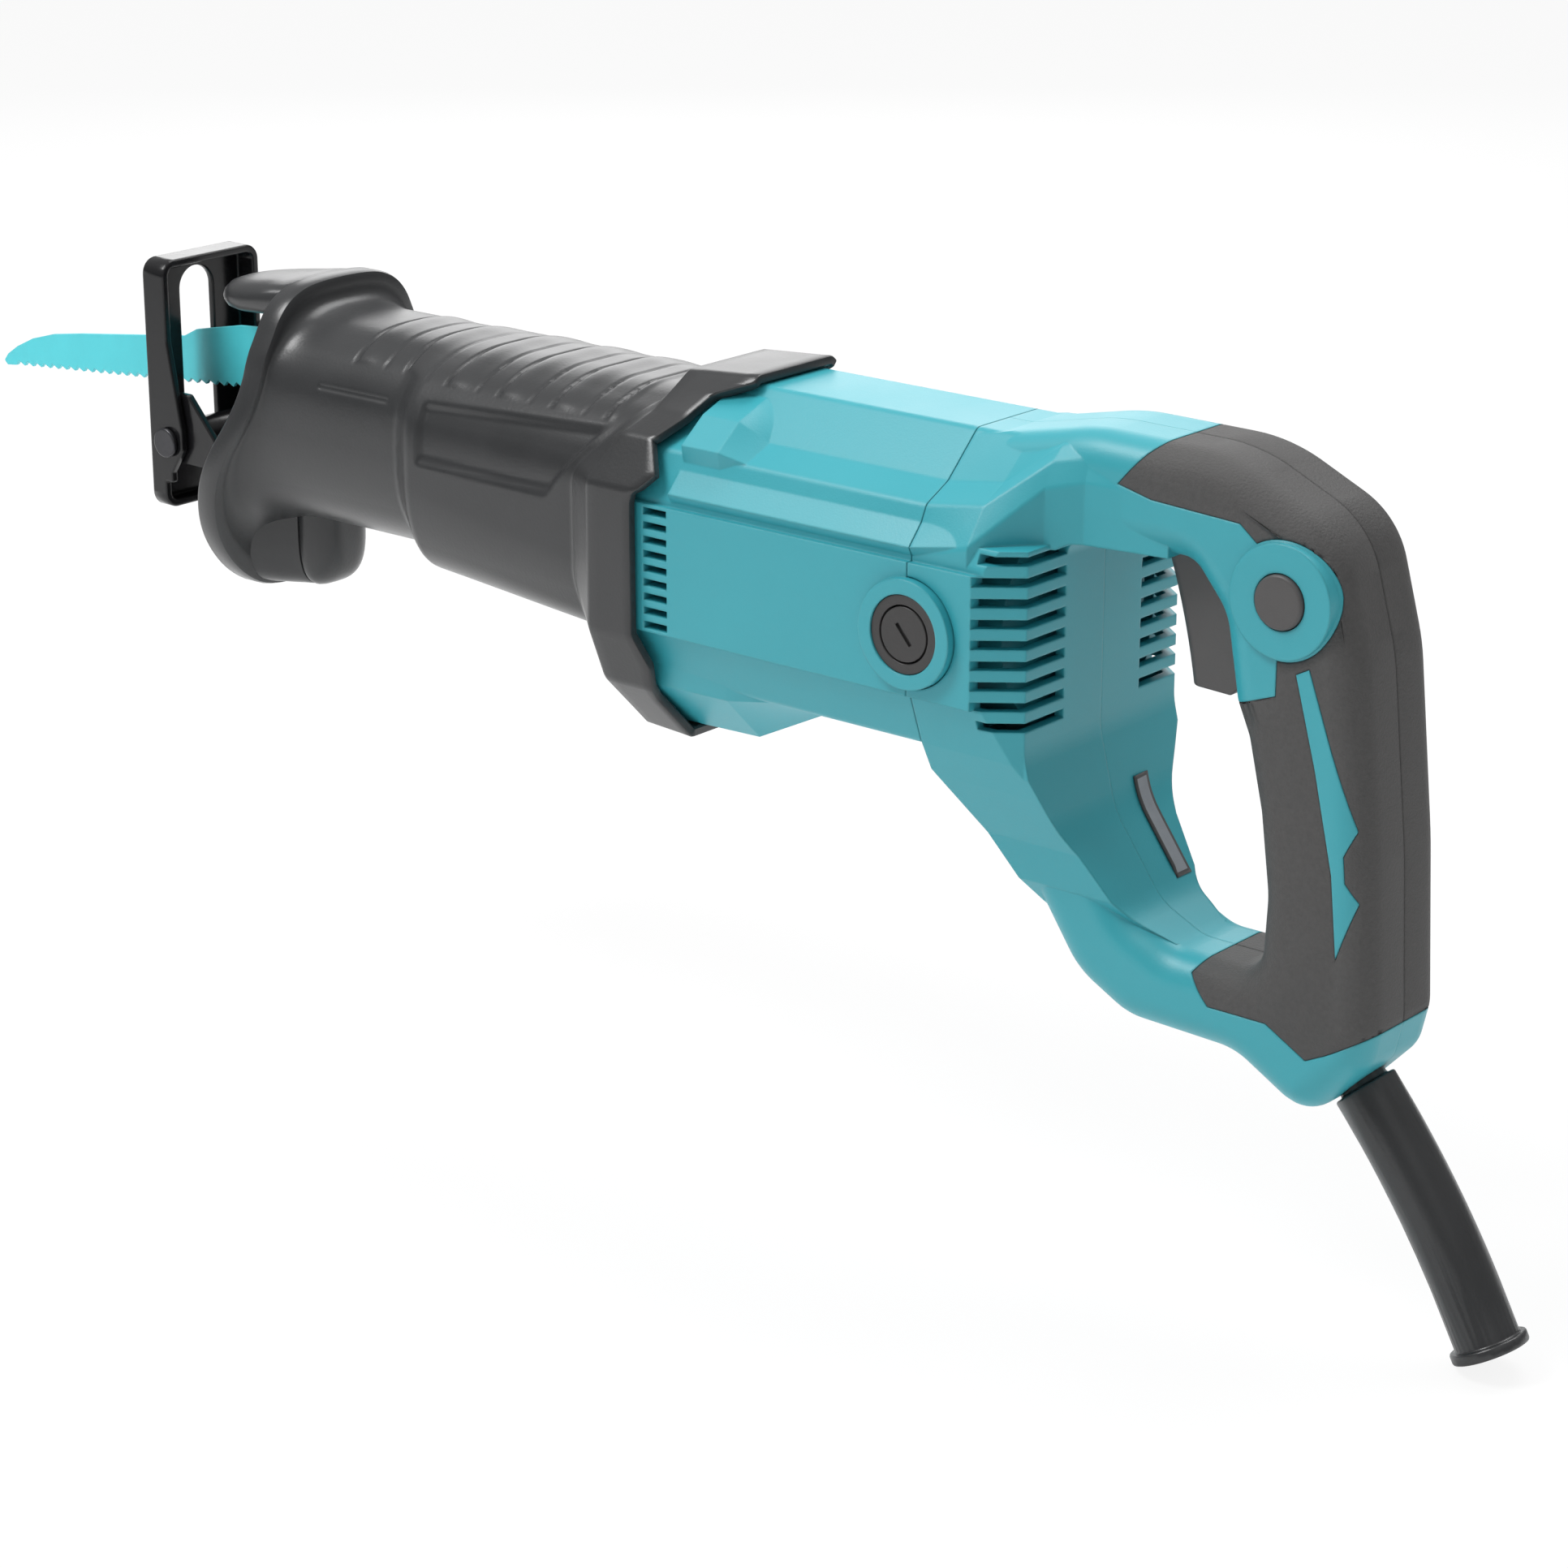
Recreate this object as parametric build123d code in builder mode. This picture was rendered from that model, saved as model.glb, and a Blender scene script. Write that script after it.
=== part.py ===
"""Corded reciprocating saw: a crank driven blade, a rubber front boot, a motor housing and a D handle.

Millimetres. X runs along the stroke axis from the shoe's front face (X = 0) back to the handle,
so the blade points to -X. Z is up, and Y = 0 is the parting plane of the two handle halves.
"""

import os
from math import cos, pi, radians, sin, tan

from build123d import *

os.makedirs("parts", exist_ok=True)

# Clearances
run_gap = 0.05
slide_gap = 0.3
seat_gap = 0.1
press_gap = 0.02

# Stroke, crank and bevel drive
stroke = 30.0
motor_z = -22.0
crank_x = 155.0
tooth_module = 1.25
gear_teeth = 40
pinion_teeth = 8
tooth_face = 7.0
addendum = 0.94
dedendum = 1.38
tooth_share = 0.40
tip_share = 0.50
tooth_root_sink = 0.4
rim_share = 0.012
gear_top_z = -12.0
crank_shaft_r = 7.0
crank_bearing_r = 14.0
crank_bearing_len = 7.0
crank_floor_z = -40.5
crank_boss_wall = 3.5
crank_pin_r = 4.0
roller_r = 7.0

# Slider, blade clamp and blade
slider_r = 9.0
slider_tail_r = 5.0
yoke_wall = 3.5
yoke_half_height = 8.5
slider_tail_len = 38.0
holder_r = 10.0
holder_front_x = 44.0
holder_rear_x = 62.0
sleeve_wall = 3.4
sleeve_len = 15.0
lever_reach = 5.5
lever_thick = 4.0
blade_thick = 1.25
blade_tang_half = 6.35
tang_depth = 15.0
clamp_pin_r = 1.6
blade_root_half = 9.3
blade_edge_half = 8.4
blade_tip_x = -93.0
blade_slant = 4.75
tooth_pitch = 4.2
tooth_depth = 1.6

# Bushes and front seal
bush_wall = 3.0
front_bush_len = 30.0
seal_len = 4.0
rear_bush_wall = 2.0

# Shoe and its sliding arm
shoe_width = 40.0
shoe_top_z = 31.0
shoe_bottom_z = -48.0
shoe_sheet = 2.4
shoe_corner_r = 5.0
shoe_flange_depth = 9.5
shoe_slot_width = 13.5
shoe_slot_top_z = 26.0
shoe_slot_bottom_z = -31.0
pivot_x = 8.2
pivot_z = -26.0
pivot_pin_r = 2.6
pivot_head_r = 4.7
pivot_head_len = 1.8
pivot_ear_r = 6.4
arm_half_width = 11.0
arm_thick = 6.0
arm_rear_x = 122.0
cheek_sheet = 2.5
cheek_top_z = -10.5
cheek_rear_x = 30.0

# Front boot: half outlines of its sections, from the top edge down
boot_wall = 3.0
barrel_half = [(12, 22.2), (24, 16), (29.5, 9), (32, 1), (32, -20), (26, -34), (13, -42)]
belly_half = [(12, 22.0), (27, 17), (34, 10), (38, 1), (38, -25), (31, -41), (14, -47)]
belly_end_half = [(12, 21.5), (27, 17), (34.5, 10.5), (39, 1), (39, -30), (33, -45), (15, -53)]
collar_half = [(16, 27), (28.5, 19.5), (38.5, 15), (46.6, 1), (46.6, -41.5), (41, -57), (27, -73)]
rim_half = [(16, 31), (28.5, 19.5), (38.5, 15), (46.6, 1), (46.6, -41.5), (41, -57), (27, -74.5)]
section_round = 5.0
barrel_front_x = 58.0
barrel_end_x = 122.0
belly_x = 133.0
belly_end_x = 196.0
collar_x = 210.0
rim_start_x = 220.0
rim_x = 226.0
rim_top_x = 247.0
housing_front_x = 222.0
flange_thick = 8.5
visor_half_width = 20.0
visor_thick = 6.5
visor_front_x = 26.0
visor_top_z = 27.0
neck_half = [(12, 27), (22, 21), (28, 13), (32, 1), (34, -24), (29, -46), (12, -60)]
neck_x = 40.0
neck_end_x = 78.0
lobe_half_width = 12.0
lobe_seam_x = 57.0
lobe_nose_x = 75.0
lobe_travel = 4.0

# Gear housing
casing_gap = 0.3
casing_front_x = 80.0
crank_room_front_x = 127.0
bearing_wall_x = 184.0
bearing_wall_len = 15.0
air_room_r = 26.0
flange_x = 214.0
flange_half = [(12, 18), (24, 14), (34.5, 9.5), (42.5, 0), (42.5, -40), (37, -54), (24, -69)]
cover_split_z = 11.0
cover_front_x = 106.0
cover_screw_y = 15.0
cover_screw_r = 2.0
cover_screw_head_r = 3.6
cover_screw_len = 12.0

# Motor
shaft_r = 5.0
front_bearing_r = 13.0
front_bearing_len = 8.0
rear_journal_r = 4.0
rear_bearing_r = 11.0
rear_bearing_len = 7.0
rear_bearing_x = 333.0
pinion_hub_len = 5.5
pinion_hub_r = 6.0
pinion_bore_r = 3.5
fan_x = housing_front_x + 6.0
fan_len = 11.0
fan_r = 32.0
fan_blades = 17
baffle_thick = 2.0
core_x = fan_x + fan_len + 11.0
core_len = 50.0
core_r = 20.0
air_gap = 0.6
field_r = 33.0
winding_len = 6.0
winding_r = 17.5
commutator_x = 310.0
commutator_len = 19.0
commutator_r = 13.5
brush_x = 320.7

# Motor housing
motor_half = [(13.5, 27.5), (26, 15.5), (35, 11), (41, -1.5), (41, -40), (36, -54), (20, -58.5)]
motor_wall = 3.0
bell_r = 32.0
bell_wall = 2.5
motor_round = 3.0
seam_x = 320.0
panel_rise = 2.0
panel_top_z = -3.0
panel_bottom_z = -39.5
brush_boss_r = 15.0
brush_cap_r = 10.8
brush_cap_face_y = 45.0
brush_cap_len = 5.0
cap_disc_r = 7.5
cap_slot_turn = -49.0
brush_half_x = 3.2
brush_half_z = 6.5
brush_len = 16.0
brush_tube_wall = 1.6
vent_count = 9
vent_high = 2.1
vent_front_x = housing_front_x + 6.0
vent_rear_x = vent_front_x + 8.5
boss_bottom_z = -70.5
boss_half_width = 24.0
boss_rear_x = 256.0
lower_boss_levels = [(housing_front_x, [(38, -44), (37, -56.5), (24, boss_bottom_z)]),
                     (252, [(38, -44), (36, -56.5), (22, boss_bottom_z)]),
                     (279, [(37, -44), (33.5, -52.5), (18, -57.5)])]
housing_screw_r = 2.4
housing_screw_head_r = 4.2
housing_screw_boss_r = 5.4
housing_boss_len = 14.0
housing_screw_spots = [(30, 3), (15, -62)]
housing_screw_depth = 12.0

# D handle: points of its side outline and of the hand opening, each with the radius of its corner
handle_half_width = 19.0
handle_round = 9.0
grip_thick = 2.0
handle_wall = 5.0
cover_wall = 3.0
handle_front_x = 316.0
handle_outline = [(356, 33.3, 60), (400, 33, 50), (433, 18, 25), (442, -14, 60), (447.5, -65, 200),
                  (450, -110, 15), (447.5, -121, 9.6), (432, -137.5, 9.6), (424, -135, 10), (408, -126, 20),
                  (374, -125, 20), (357, -116, 25), (331, -78, 50)]
opening_outline = [(352.5, 4, 5), (352.5, -52, 20), (358, -74, 25), (374, -96, 15), (388, -102.5, 15),
                   (414.5, -102.5, 8), (415.5, -80, 30), (412.5, -58, 30), (408, -39, 12), (404, -30, 10),
                   (400, -8, 15), (390, 4, 8)]
rear_face_x = 352.5
rear_chamfer_x = 341.0
rear_face_half = 34.0
box_top_z = 3.6
root_floor_z = -20.0
root_levels = [(320, [(13.5, 27.5), (26, 15.5), (35, 11), (41, -1.5)]),
               (338, [(13.5, 28.5), (25.5, 18), (34, 13.5), (41, 3.6)]),
               (351, [(12, 31.5), (18, 28.5), (22, 25), (25.5, 18.5)]),
               (360, [(8, 33), (14, 30.5), (18, 26.5), (20.5, 20.5)]),
               (384, [(8, 33), (13, 30), (16, 26), (17, 20)])]
strut_end_x = 387.0
strut_levels = [(-40, 41), (-54, 36), (-64, 31), (-80, 22.5), (-92, 19.2), (-99, 14), (-106, 8)]
rear_vent_pitch = 5.6
rear_vent_top_z = 1.0
rear_vent_high = 2.6
rear_vent_end_y = 17.0
handle_screw_r = 1.9
handle_screw_head_r = 3.6
handle_screw_boss_r = 4.6
handle_screw_spots = [(366, 18), (406, 23), (429, -66), (437, -106), (368, -112)]

# Trigger, lock button and switch
trigger_half_width = 9.0
trigger_side_gap = 0.4
trigger_pivot_x = 398.0
trigger_pivot_z = 12.0
trigger_pin_r = 2.0
switch_x = 415.0
switch_len = 19.0
switch_half_width = 11.5
switch_top_z = -8.5
switch_bottom_z = -42.0
lock_x = 420.0
lock_z = 0.0
lock_r = 7.2
lock_boss_r = 15.0
lock_boss_y = 20.3
lock_face_y = 21.3
lock_len = 9.0

# Cord guard
guard_r = 8.8
guard_bore_r = 4.2
guard_rim_r = 10.5
guard_rim_len = 3.0
guard_start = (439.3, -131.5)
guard_lean = -49.0
guard_turn = 13.0
guard_len = 64.0
guard_tail_len = 12.0
guard_inside = 9.0
guard_groove_r = 6.8


def keep(builder, name):
    """Label a finished piece and write it as its own node."""
    builder.part.label = name
    export_step(builder.part, f"parts/{name}.step")


def mirrored(half):
    """Closed outline from a half outline: down the +Y side and back up the -Y side."""
    return half + [(-y, z) for y, z in reversed(half)]


def section(x, half, inset, rounding=0.0, bore_r=0.0):
    """Section across the tool at x, shrunk all round by inset, with a bore on the motor axis if given."""
    with BuildSketch(Plane.YZ.offset(x)) as face:
        with BuildLine():
            Polyline(*mirrored(half), close=True)
        make_face()
        if inset:
            offset(amount=-inset, kind=Kind.INTERSECTION, mode=Mode.REPLACE)
        if rounding:
            fillet(face.vertices(), rounding)
        if bore_r:
            with Locations((0, motor_z)):
                Circle(bore_r, mode=Mode.SUBTRACT)
    return face.sketch


def boot_solid(inset, front_x, rear_x):
    """Solid of the boot's outer form, shrunk by inset, cut off square at two stations."""
    stations = [(barrel_front_x, barrel_half), (barrel_end_x, barrel_half), (belly_x, belly_half),
                (belly_end_x, belly_end_half), (collar_x, collar_half), (rim_start_x, rim_half),
                (rim_top_x, rim_half)]
    rounding = 0.0 if inset else section_round
    with BuildPart() as form:
        loft([section(x, half, inset, rounding) for x, half in stations], ruled=True)
        split(bisect_by=Plane.YZ.offset(front_x), keep=Keep.TOP)
        split(bisect_by=Plane.YZ.offset(rear_x), keep=Keep.BOTTOM)
    return form.part


def rod(x, length, radius, z=0.0, mode=Mode.ADD):
    """Round bar along X that starts at x."""
    with BuildSketch(Plane.YZ.offset(x)) as disc:
        with Locations((0, z)):
            Circle(radius)
    extrude(disc.sketch, amount=length, mode=mode)


def post(x, y, z, length, radius, mode=Mode.ADD):
    """Round bar along Z that starts at z."""
    with BuildSketch(Plane.XY.offset(z)) as disc:
        with Locations((x, y)):
            Circle(radius)
    extrude(disc.sketch, amount=length, mode=mode)


def cross_rod(x, y, z, length, radius, mode=Mode.ADD):
    """Round bar along +Y that starts at y."""
    with BuildSketch(Plane.XZ.offset(-y)) as disc:
        with Locations((x, z)):
            Circle(radius)
    extrude(disc.sketch, amount=-length, mode=mode)


def block(x0, x1, y0, y1, z0, z1, mode=Mode.ADD):
    """Plain block between its limits."""
    with Locations(((x0 + x1) / 2, (y0 + y1) / 2, (z0 + z1) / 2)):
        Box(x1 - x0, y1 - y0, z1 - z0, mode=mode)


# Slider: front bar with the blade holder, cross-slotted yoke and rear guide bar
throw = stroke / 2
yoke_half_x = roller_r + run_gap + yoke_wall
yoke_half_y = throw + roller_r + 0.4 + yoke_wall
tail_start_x = crank_x + yoke_half_x
tang_rear_x = holder_front_x + tang_depth
clamp_pin_x = holder_front_x + tang_depth * 0.55
with BuildPart() as slider:
    rod(holder_front_x, holder_rear_x - holder_front_x, holder_r)
    rod(holder_rear_x, crank_x - yoke_half_x - holder_rear_x, slider_r)
    block(crank_x - yoke_half_x, tail_start_x, -yoke_half_y, yoke_half_y,
          -yoke_half_height, yoke_half_height)
    rod(tail_start_x, slider_tail_len, slider_tail_r)
    with BuildSketch(Plane.XY.offset(-yoke_half_height)):
        with Locations((crank_x, 0)):
            SlotOverall(2 * (throw + roller_r + 0.4), 2 * (roller_r + run_gap), rotation=90)
    extrude(amount=2 * yoke_half_height, mode=Mode.SUBTRACT)
    block(holder_front_x, tang_rear_x + seat_gap, -blade_thick / 2 - seat_gap, blade_thick / 2 + seat_gap,
          -blade_tang_half - seat_gap, blade_tang_half + seat_gap, mode=Mode.SUBTRACT)
    cross_rod(clamp_pin_x, -holder_r, 0, 2 * holder_r, clamp_pin_r + run_gap, mode=Mode.SUBTRACT)
keep(slider, "slider_shaft")

# Crank roller: the drive block that fills the yoke's cross slot
with BuildPart() as crank_roller:
    post(crank_x, throw, -yoke_half_height + seat_gap, 2 * (yoke_half_height - seat_gap), roller_r)
    post(crank_x, throw, yoke_half_height - 6, 6, crank_pin_r, mode=Mode.SUBTRACT)
keep(crank_roller, "crank_roller")

# Blade: tang in the holder, straight back with a dropped nose and raked teeth on the lower edge
slant = tan(radians(blade_slant))
blade_shoulder_x = holder_front_x - 2.0
blade_step_x = -4.0


def blade_edge_z(x):
    """Height of the tooth line at x."""
    return -blade_edge_half + (x - blade_shoulder_x) * slant


tooth_count = int((blade_shoulder_x - 6 - (blade_tip_x + 6)) / tooth_pitch)
teeth_start_x = blade_tip_x + 6
with BuildPart() as saw_blade:
    with BuildSketch(Plane.XZ.offset(-blade_thick / 2)):
        with BuildLine():
            outline = [(tang_rear_x, blade_tang_half), (blade_shoulder_x, blade_tang_half),
                       (blade_shoulder_x - 3, blade_root_half + 1.8),
                       (22, blade_root_half + 0.4), (blade_step_x + 6, blade_root_half - 3.6),
                       (blade_step_x, blade_root_half - 6.6), (-54, -3.9), (-68, -6.1), (-78, -8.9),
                       (-86, -12.6), (-91, -15.8), (blade_tip_x, blade_edge_z(blade_tip_x) + 1.4),
                       (blade_tip_x + 1.5, blade_edge_z(blade_tip_x)),
                       (teeth_start_x, blade_edge_z(teeth_start_x))]
            for index in range(tooth_count):
                x = teeth_start_x + index * tooth_pitch
                outline += [(x + 0.35 * tooth_pitch, blade_edge_z(x) + tooth_depth),
                            (x + tooth_pitch, blade_edge_z(x + tooth_pitch))]
            outline += [(blade_shoulder_x, -blade_tang_half), (tang_rear_x, -blade_tang_half)]
            Polyline(*outline, close=True)
        make_face()
    extrude(amount=blade_thick)
    cross_rod(clamp_pin_x, -blade_thick, 0, 2 * blade_thick, clamp_pin_r + run_gap, mode=Mode.SUBTRACT)
keep(saw_blade, "saw_blade")

# Clamp pin: runs across the holder through the blade's tang
with BuildPart() as clamp_pin:
    cross_rod(clamp_pin_x, -holder_r + 0.5, 0, 2 * holder_r - 1, clamp_pin_r)
keep(clamp_pin, "clamp_pin")

# Clamp sleeve: collar on the holder with a thumb lever on the far side
sleeve_x = holder_front_x + 1.0
sleeve_r = holder_r + run_gap + sleeve_wall
with BuildPart() as clamp_sleeve:
    rod(sleeve_x, sleeve_len, sleeve_r)
    block(sleeve_x + 2, sleeve_x + sleeve_len - 2, sleeve_r - 2, sleeve_r + lever_reach,
          -lever_thick / 2, lever_thick / 2)
    rod(sleeve_x, sleeve_len, holder_r + run_gap, mode=Mode.SUBTRACT)
keep(clamp_sleeve, "clamp_sleeve")

# Shoe: pressed plate with folded sides, a blade slot and two pivot ears
half_shoe = shoe_width / 2
with BuildPart() as shoe_plate:
    with BuildSketch(Plane.YZ) as face:
        with Locations((0, (shoe_top_z + shoe_bottom_z) / 2)):
            RectangleRounded(shoe_width, shoe_top_z - shoe_bottom_z, shoe_corner_r)
    extrude(amount=shoe_flange_depth)
    with BuildSketch(Plane.YZ.offset(shoe_sheet)):
        with Locations((0, (shoe_top_z + shoe_bottom_z) / 2)):
            RectangleRounded(shoe_width - 2 * shoe_sheet, shoe_top_z - shoe_bottom_z - 2 * shoe_sheet,
                             shoe_corner_r - shoe_sheet)
    extrude(amount=shoe_flange_depth, mode=Mode.SUBTRACT)
    for y in (-half_shoe, half_shoe - shoe_sheet):
        with BuildSketch(Plane.XZ.offset(-y)):
            with BuildLine():
                Polyline((shoe_sheet, pivot_z + 5 * pivot_ear_r),
                         (shoe_flange_depth, pivot_z + 5 * pivot_ear_r),
                         (pivot_x + pivot_ear_r, pivot_z + 0.8 * pivot_ear_r),
                         (pivot_x + pivot_ear_r, pivot_z - 0.3 * pivot_ear_r),
                         (shoe_flange_depth - 2, pivot_z - 2 * pivot_ear_r),
                         (shoe_sheet, pivot_z - 2 * pivot_ear_r), close=True)
            make_face()
        extrude(amount=-shoe_sheet)
    block(shoe_sheet + 4, shoe_flange_depth + 1, -half_shoe, half_shoe, shoe_bottom_z - 1,
          shoe_bottom_z + 9, mode=Mode.SUBTRACT)
    with BuildSketch(Plane.YZ):
        with Locations((0, (shoe_slot_top_z + shoe_slot_bottom_z) / 2)):
            SlotOverall(shoe_slot_top_z - shoe_slot_bottom_z, shoe_slot_width, rotation=90)
    extrude(amount=shoe_sheet, mode=Mode.SUBTRACT)
    cross_rod(pivot_x, -half_shoe, pivot_z, shoe_width, pivot_pin_r + run_gap, mode=Mode.SUBTRACT)
keep(shoe_plate, "shoe_plate")

# Shoe arm: flat bar that slides in the gear housing, with a pivot boss and two cheeks at its front
boss_r = pivot_x - shoe_sheet - slide_gap
cheek_y = half_shoe - shoe_sheet - slide_gap
arm_top_z = pivot_z - 1.0
with BuildPart() as shoe_arm:
    block(pivot_x, arm_rear_x, -arm_half_width, arm_half_width, arm_top_z - arm_thick, arm_top_z)
    cross_rod(pivot_x, -cheek_y, pivot_z, 2 * cheek_y, boss_r)
    block(pivot_x, cheek_rear_x, -cheek_y, cheek_y, arm_top_z - arm_thick, arm_top_z)
    for y in (-cheek_y, cheek_y - cheek_sheet):
        with BuildSketch(Plane.XZ.offset(-y)):
            with BuildLine():
                Polyline((pivot_x - boss_r + 1.5, pivot_z), (pivot_x + 1.5, cheek_top_z),
                         (pivot_x + 7, cheek_top_z), (cheek_rear_x, arm_top_z), (pivot_x, arm_top_z),
                         close=True)
            make_face()
        extrude(amount=-cheek_sheet)
    cross_rod(pivot_x, -cheek_y, pivot_z, 2 * cheek_y, pivot_pin_r + run_gap, mode=Mode.SUBTRACT)
keep(shoe_arm, "shoe_arm")

# Shoe pivot pin: headed rivet through the ears and the arm's boss
with BuildPart() as shoe_pin:
    cross_rod(pivot_x, -half_shoe, pivot_z, shoe_width, pivot_pin_r)
    cross_rod(pivot_x, -half_shoe - slide_gap / 3 - pivot_head_len, pivot_z, pivot_head_len, pivot_head_r)
    cross_rod(pivot_x, half_shoe + slide_gap / 3, pivot_z, pivot_head_len, pivot_head_r)
    cross_rod(pivot_x, -half_shoe - 1, pivot_z, shoe_width + 2, pivot_pin_r)
keep(shoe_pin, "shoe_pivot_pin")

# Front boot: rubber sleeve over the gear housing with a hand guard, a visor and a lower lobe
boot_outer = boot_solid(0, barrel_front_x, rim_top_x)
boot_inner = boot_solid(boot_wall, barrel_front_x, rim_top_x)
guard_front = [(61, 40), (60, 14), (57, -4), (44, -24), (38, -46), (34, -80)]
guard_back = [(x + flange_thick, z) for x, z in guard_front]
guard_half = [(12, 32), (21, 29), (26.5, 24), (30, 17), (33, 11), (34.5, 2), (38.5, -14), (40, -28),
              (37.5, -42), (31, -54), (22, -63), (11, -68.5)]
rim_cut = [(rim_top_x, 40), (rim_top_x, 29), (236, 25), (228, 14), (233, 6), (rim_x, -1), (rim_x, -39.5),
           (230, -50), (228, -61), (233, -80)]
far_side = 70.0
tongue_x = lobe_seam_x + 6.0
tongue_top_z = -51.0
tongue_bottom_z = -58.0
lobe_pocket_y = lobe_half_width + lobe_travel + slide_gap
with BuildPart() as front_boot:
    with BuildSketch(Plane.YZ.offset(guard_front[-1][0])) as guard_face:
        with BuildLine():
            Polyline(*mirrored(guard_half), close=True)
        make_face()
        fillet(guard_face.vertices(), 4)
    extrude(amount=guard_back[0][0] - guard_front[-1][0])
    with BuildSketch(Plane.XZ.offset(-far_side)):
        with BuildLine():
            Polyline(*guard_back, (90, guard_back[-1][1]), (90, guard_back[0][1]), close=True)
        make_face()
    extrude(amount=2 * far_side, mode=Mode.SUBTRACT)
    with BuildSketch(Plane.XZ.offset(-lobe_half_width)):
        with BuildLine():
            Polyline((42, -36), (lobe_seam_x, -36), (lobe_seam_x, -65), (42, -68), close=True)
        make_face()
    extrude(amount=2 * lobe_half_width)
    neck = [section(neck_x, neck_half, 0, section_round), section(neck_end_x, barrel_half, 0, section_round)]
    loft(neck, ruled=True)
    with BuildSketch(Plane.XZ.offset(-far_side)):
        with BuildLine():
            Polyline(*guard_front, (20, guard_front[-1][1]), (20, guard_front[0][1]), close=True)
        make_face()
    extrude(amount=2 * far_side, mode=Mode.SUBTRACT)
    block(lobe_seam_x, neck_end_x + 4, -lobe_pocket_y, lobe_pocket_y, -far_side, barrel_half[-1][1],
          mode=Mode.SUBTRACT)
    block(lobe_seam_x, tongue_x, -lobe_half_width, lobe_half_width, tongue_bottom_z, tongue_top_z)
    with BuildSketch(Plane.XY.offset(visor_top_z - visor_thick)):
        with Locations((visor_front_x + visor_half_width, 0)):
            Circle(visor_half_width)
        with Locations((barrel_front_x - 4, 0)):
            Rectangle(2 * (barrel_front_x - 4 - visor_front_x - visor_half_width), 2 * visor_half_width)
    extrude(amount=visor_thick)
    add(boot_outer)
    with BuildSketch(Plane.XZ.offset(-far_side)):
        with BuildLine():
            Polyline(*rim_cut, (rim_top_x + 5, -80), (rim_top_x + 5, 40), close=True)
        make_face()
    extrude(amount=2 * far_side, mode=Mode.SUBTRACT)
    add(boot_inner, mode=Mode.SUBTRACT)
    mouth = section(visor_front_x - 5, barrel_half, boot_wall)
    extrude(mouth, amount=barrel_front_x - visor_front_x + 6, mode=Mode.SUBTRACT)
keep(front_boot, "front_boot")

# Shoe lock button: rear half of the lower lobe, sliding across on the boot's tongue
lobe_top_z = barrel_half[-1][1] - slide_gap
with BuildPart() as shoe_lock:
    with BuildSketch(Plane.XZ.offset(-lobe_half_width)):
        with BuildLine():
            front = Line((lobe_seam_x + slide_gap, lobe_top_z), (lobe_seam_x + slide_gap, -65))
            belly = Spline(front @ 1, (66, -61), (72, -54.5), (lobe_nose_x + 1, lobe_top_z - 3))
            Polyline(belly @ 1, (lobe_nose_x + 1, lobe_top_z), front @ 0)
        make_face()
    extrude(amount=2 * lobe_half_width)
    with BuildSketch(Plane.XY.offset(-far_side)) as lobe_plan:
        with Locations((lobe_nose_x - lobe_half_width, 0)):
            Circle(lobe_half_width)
        with Locations((lobe_seam_x, 0)):
            Rectangle(2 * (lobe_nose_x - lobe_half_width - lobe_seam_x), 2 * lobe_half_width)
    extrude(lobe_plan.sketch, amount=far_side, mode=Mode.INTERSECT)
    block(lobe_seam_x, tongue_x + slide_gap, -lobe_half_width, lobe_half_width,
          tongue_bottom_z - slide_gap, tongue_top_z + slide_gap, mode=Mode.SUBTRACT)
keep(shoe_lock, "shoe_lock_button")

# Gear housing: die-cast case, split at the top by its cover
casing_inset = boot_wall + casing_gap
casing_rear_x = housing_front_x
bearing_wall_end_x = bearing_wall_x + bearing_wall_len
front_bearing_x = bearing_wall_x + 3.0
front_bush_r = slider_r + run_gap + bush_wall
rear_bush_r = slider_tail_r + run_gap + rear_bush_wall
bush_x = casing_front_x + seal_len
cover_rear_x = bearing_wall_end_x
cover_screws = [(x, side * cover_screw_y) for side in (-1, 1)
                for x in (cover_front_x + 7, bearing_wall_x + 7)]
cover_head_z = 12.5
casing_shapes = [section(x, half, casing_inset) for x, half in
                 ((casing_front_x, barrel_half), (barrel_end_x, barrel_half), (belly_x, belly_half),
                  (belly_end_x, belly_end_half), (casing_rear_x, belly_end_half))]
flange_face = section(flange_x, flange_half, 0)
crank_room_half = yoke_half_y + 2.0
crank_room_top_z = yoke_half_height + 1.7
screw_bosses = [(side * y, z) for side in (-1, 1) for y, z in housing_screw_spots]
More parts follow.
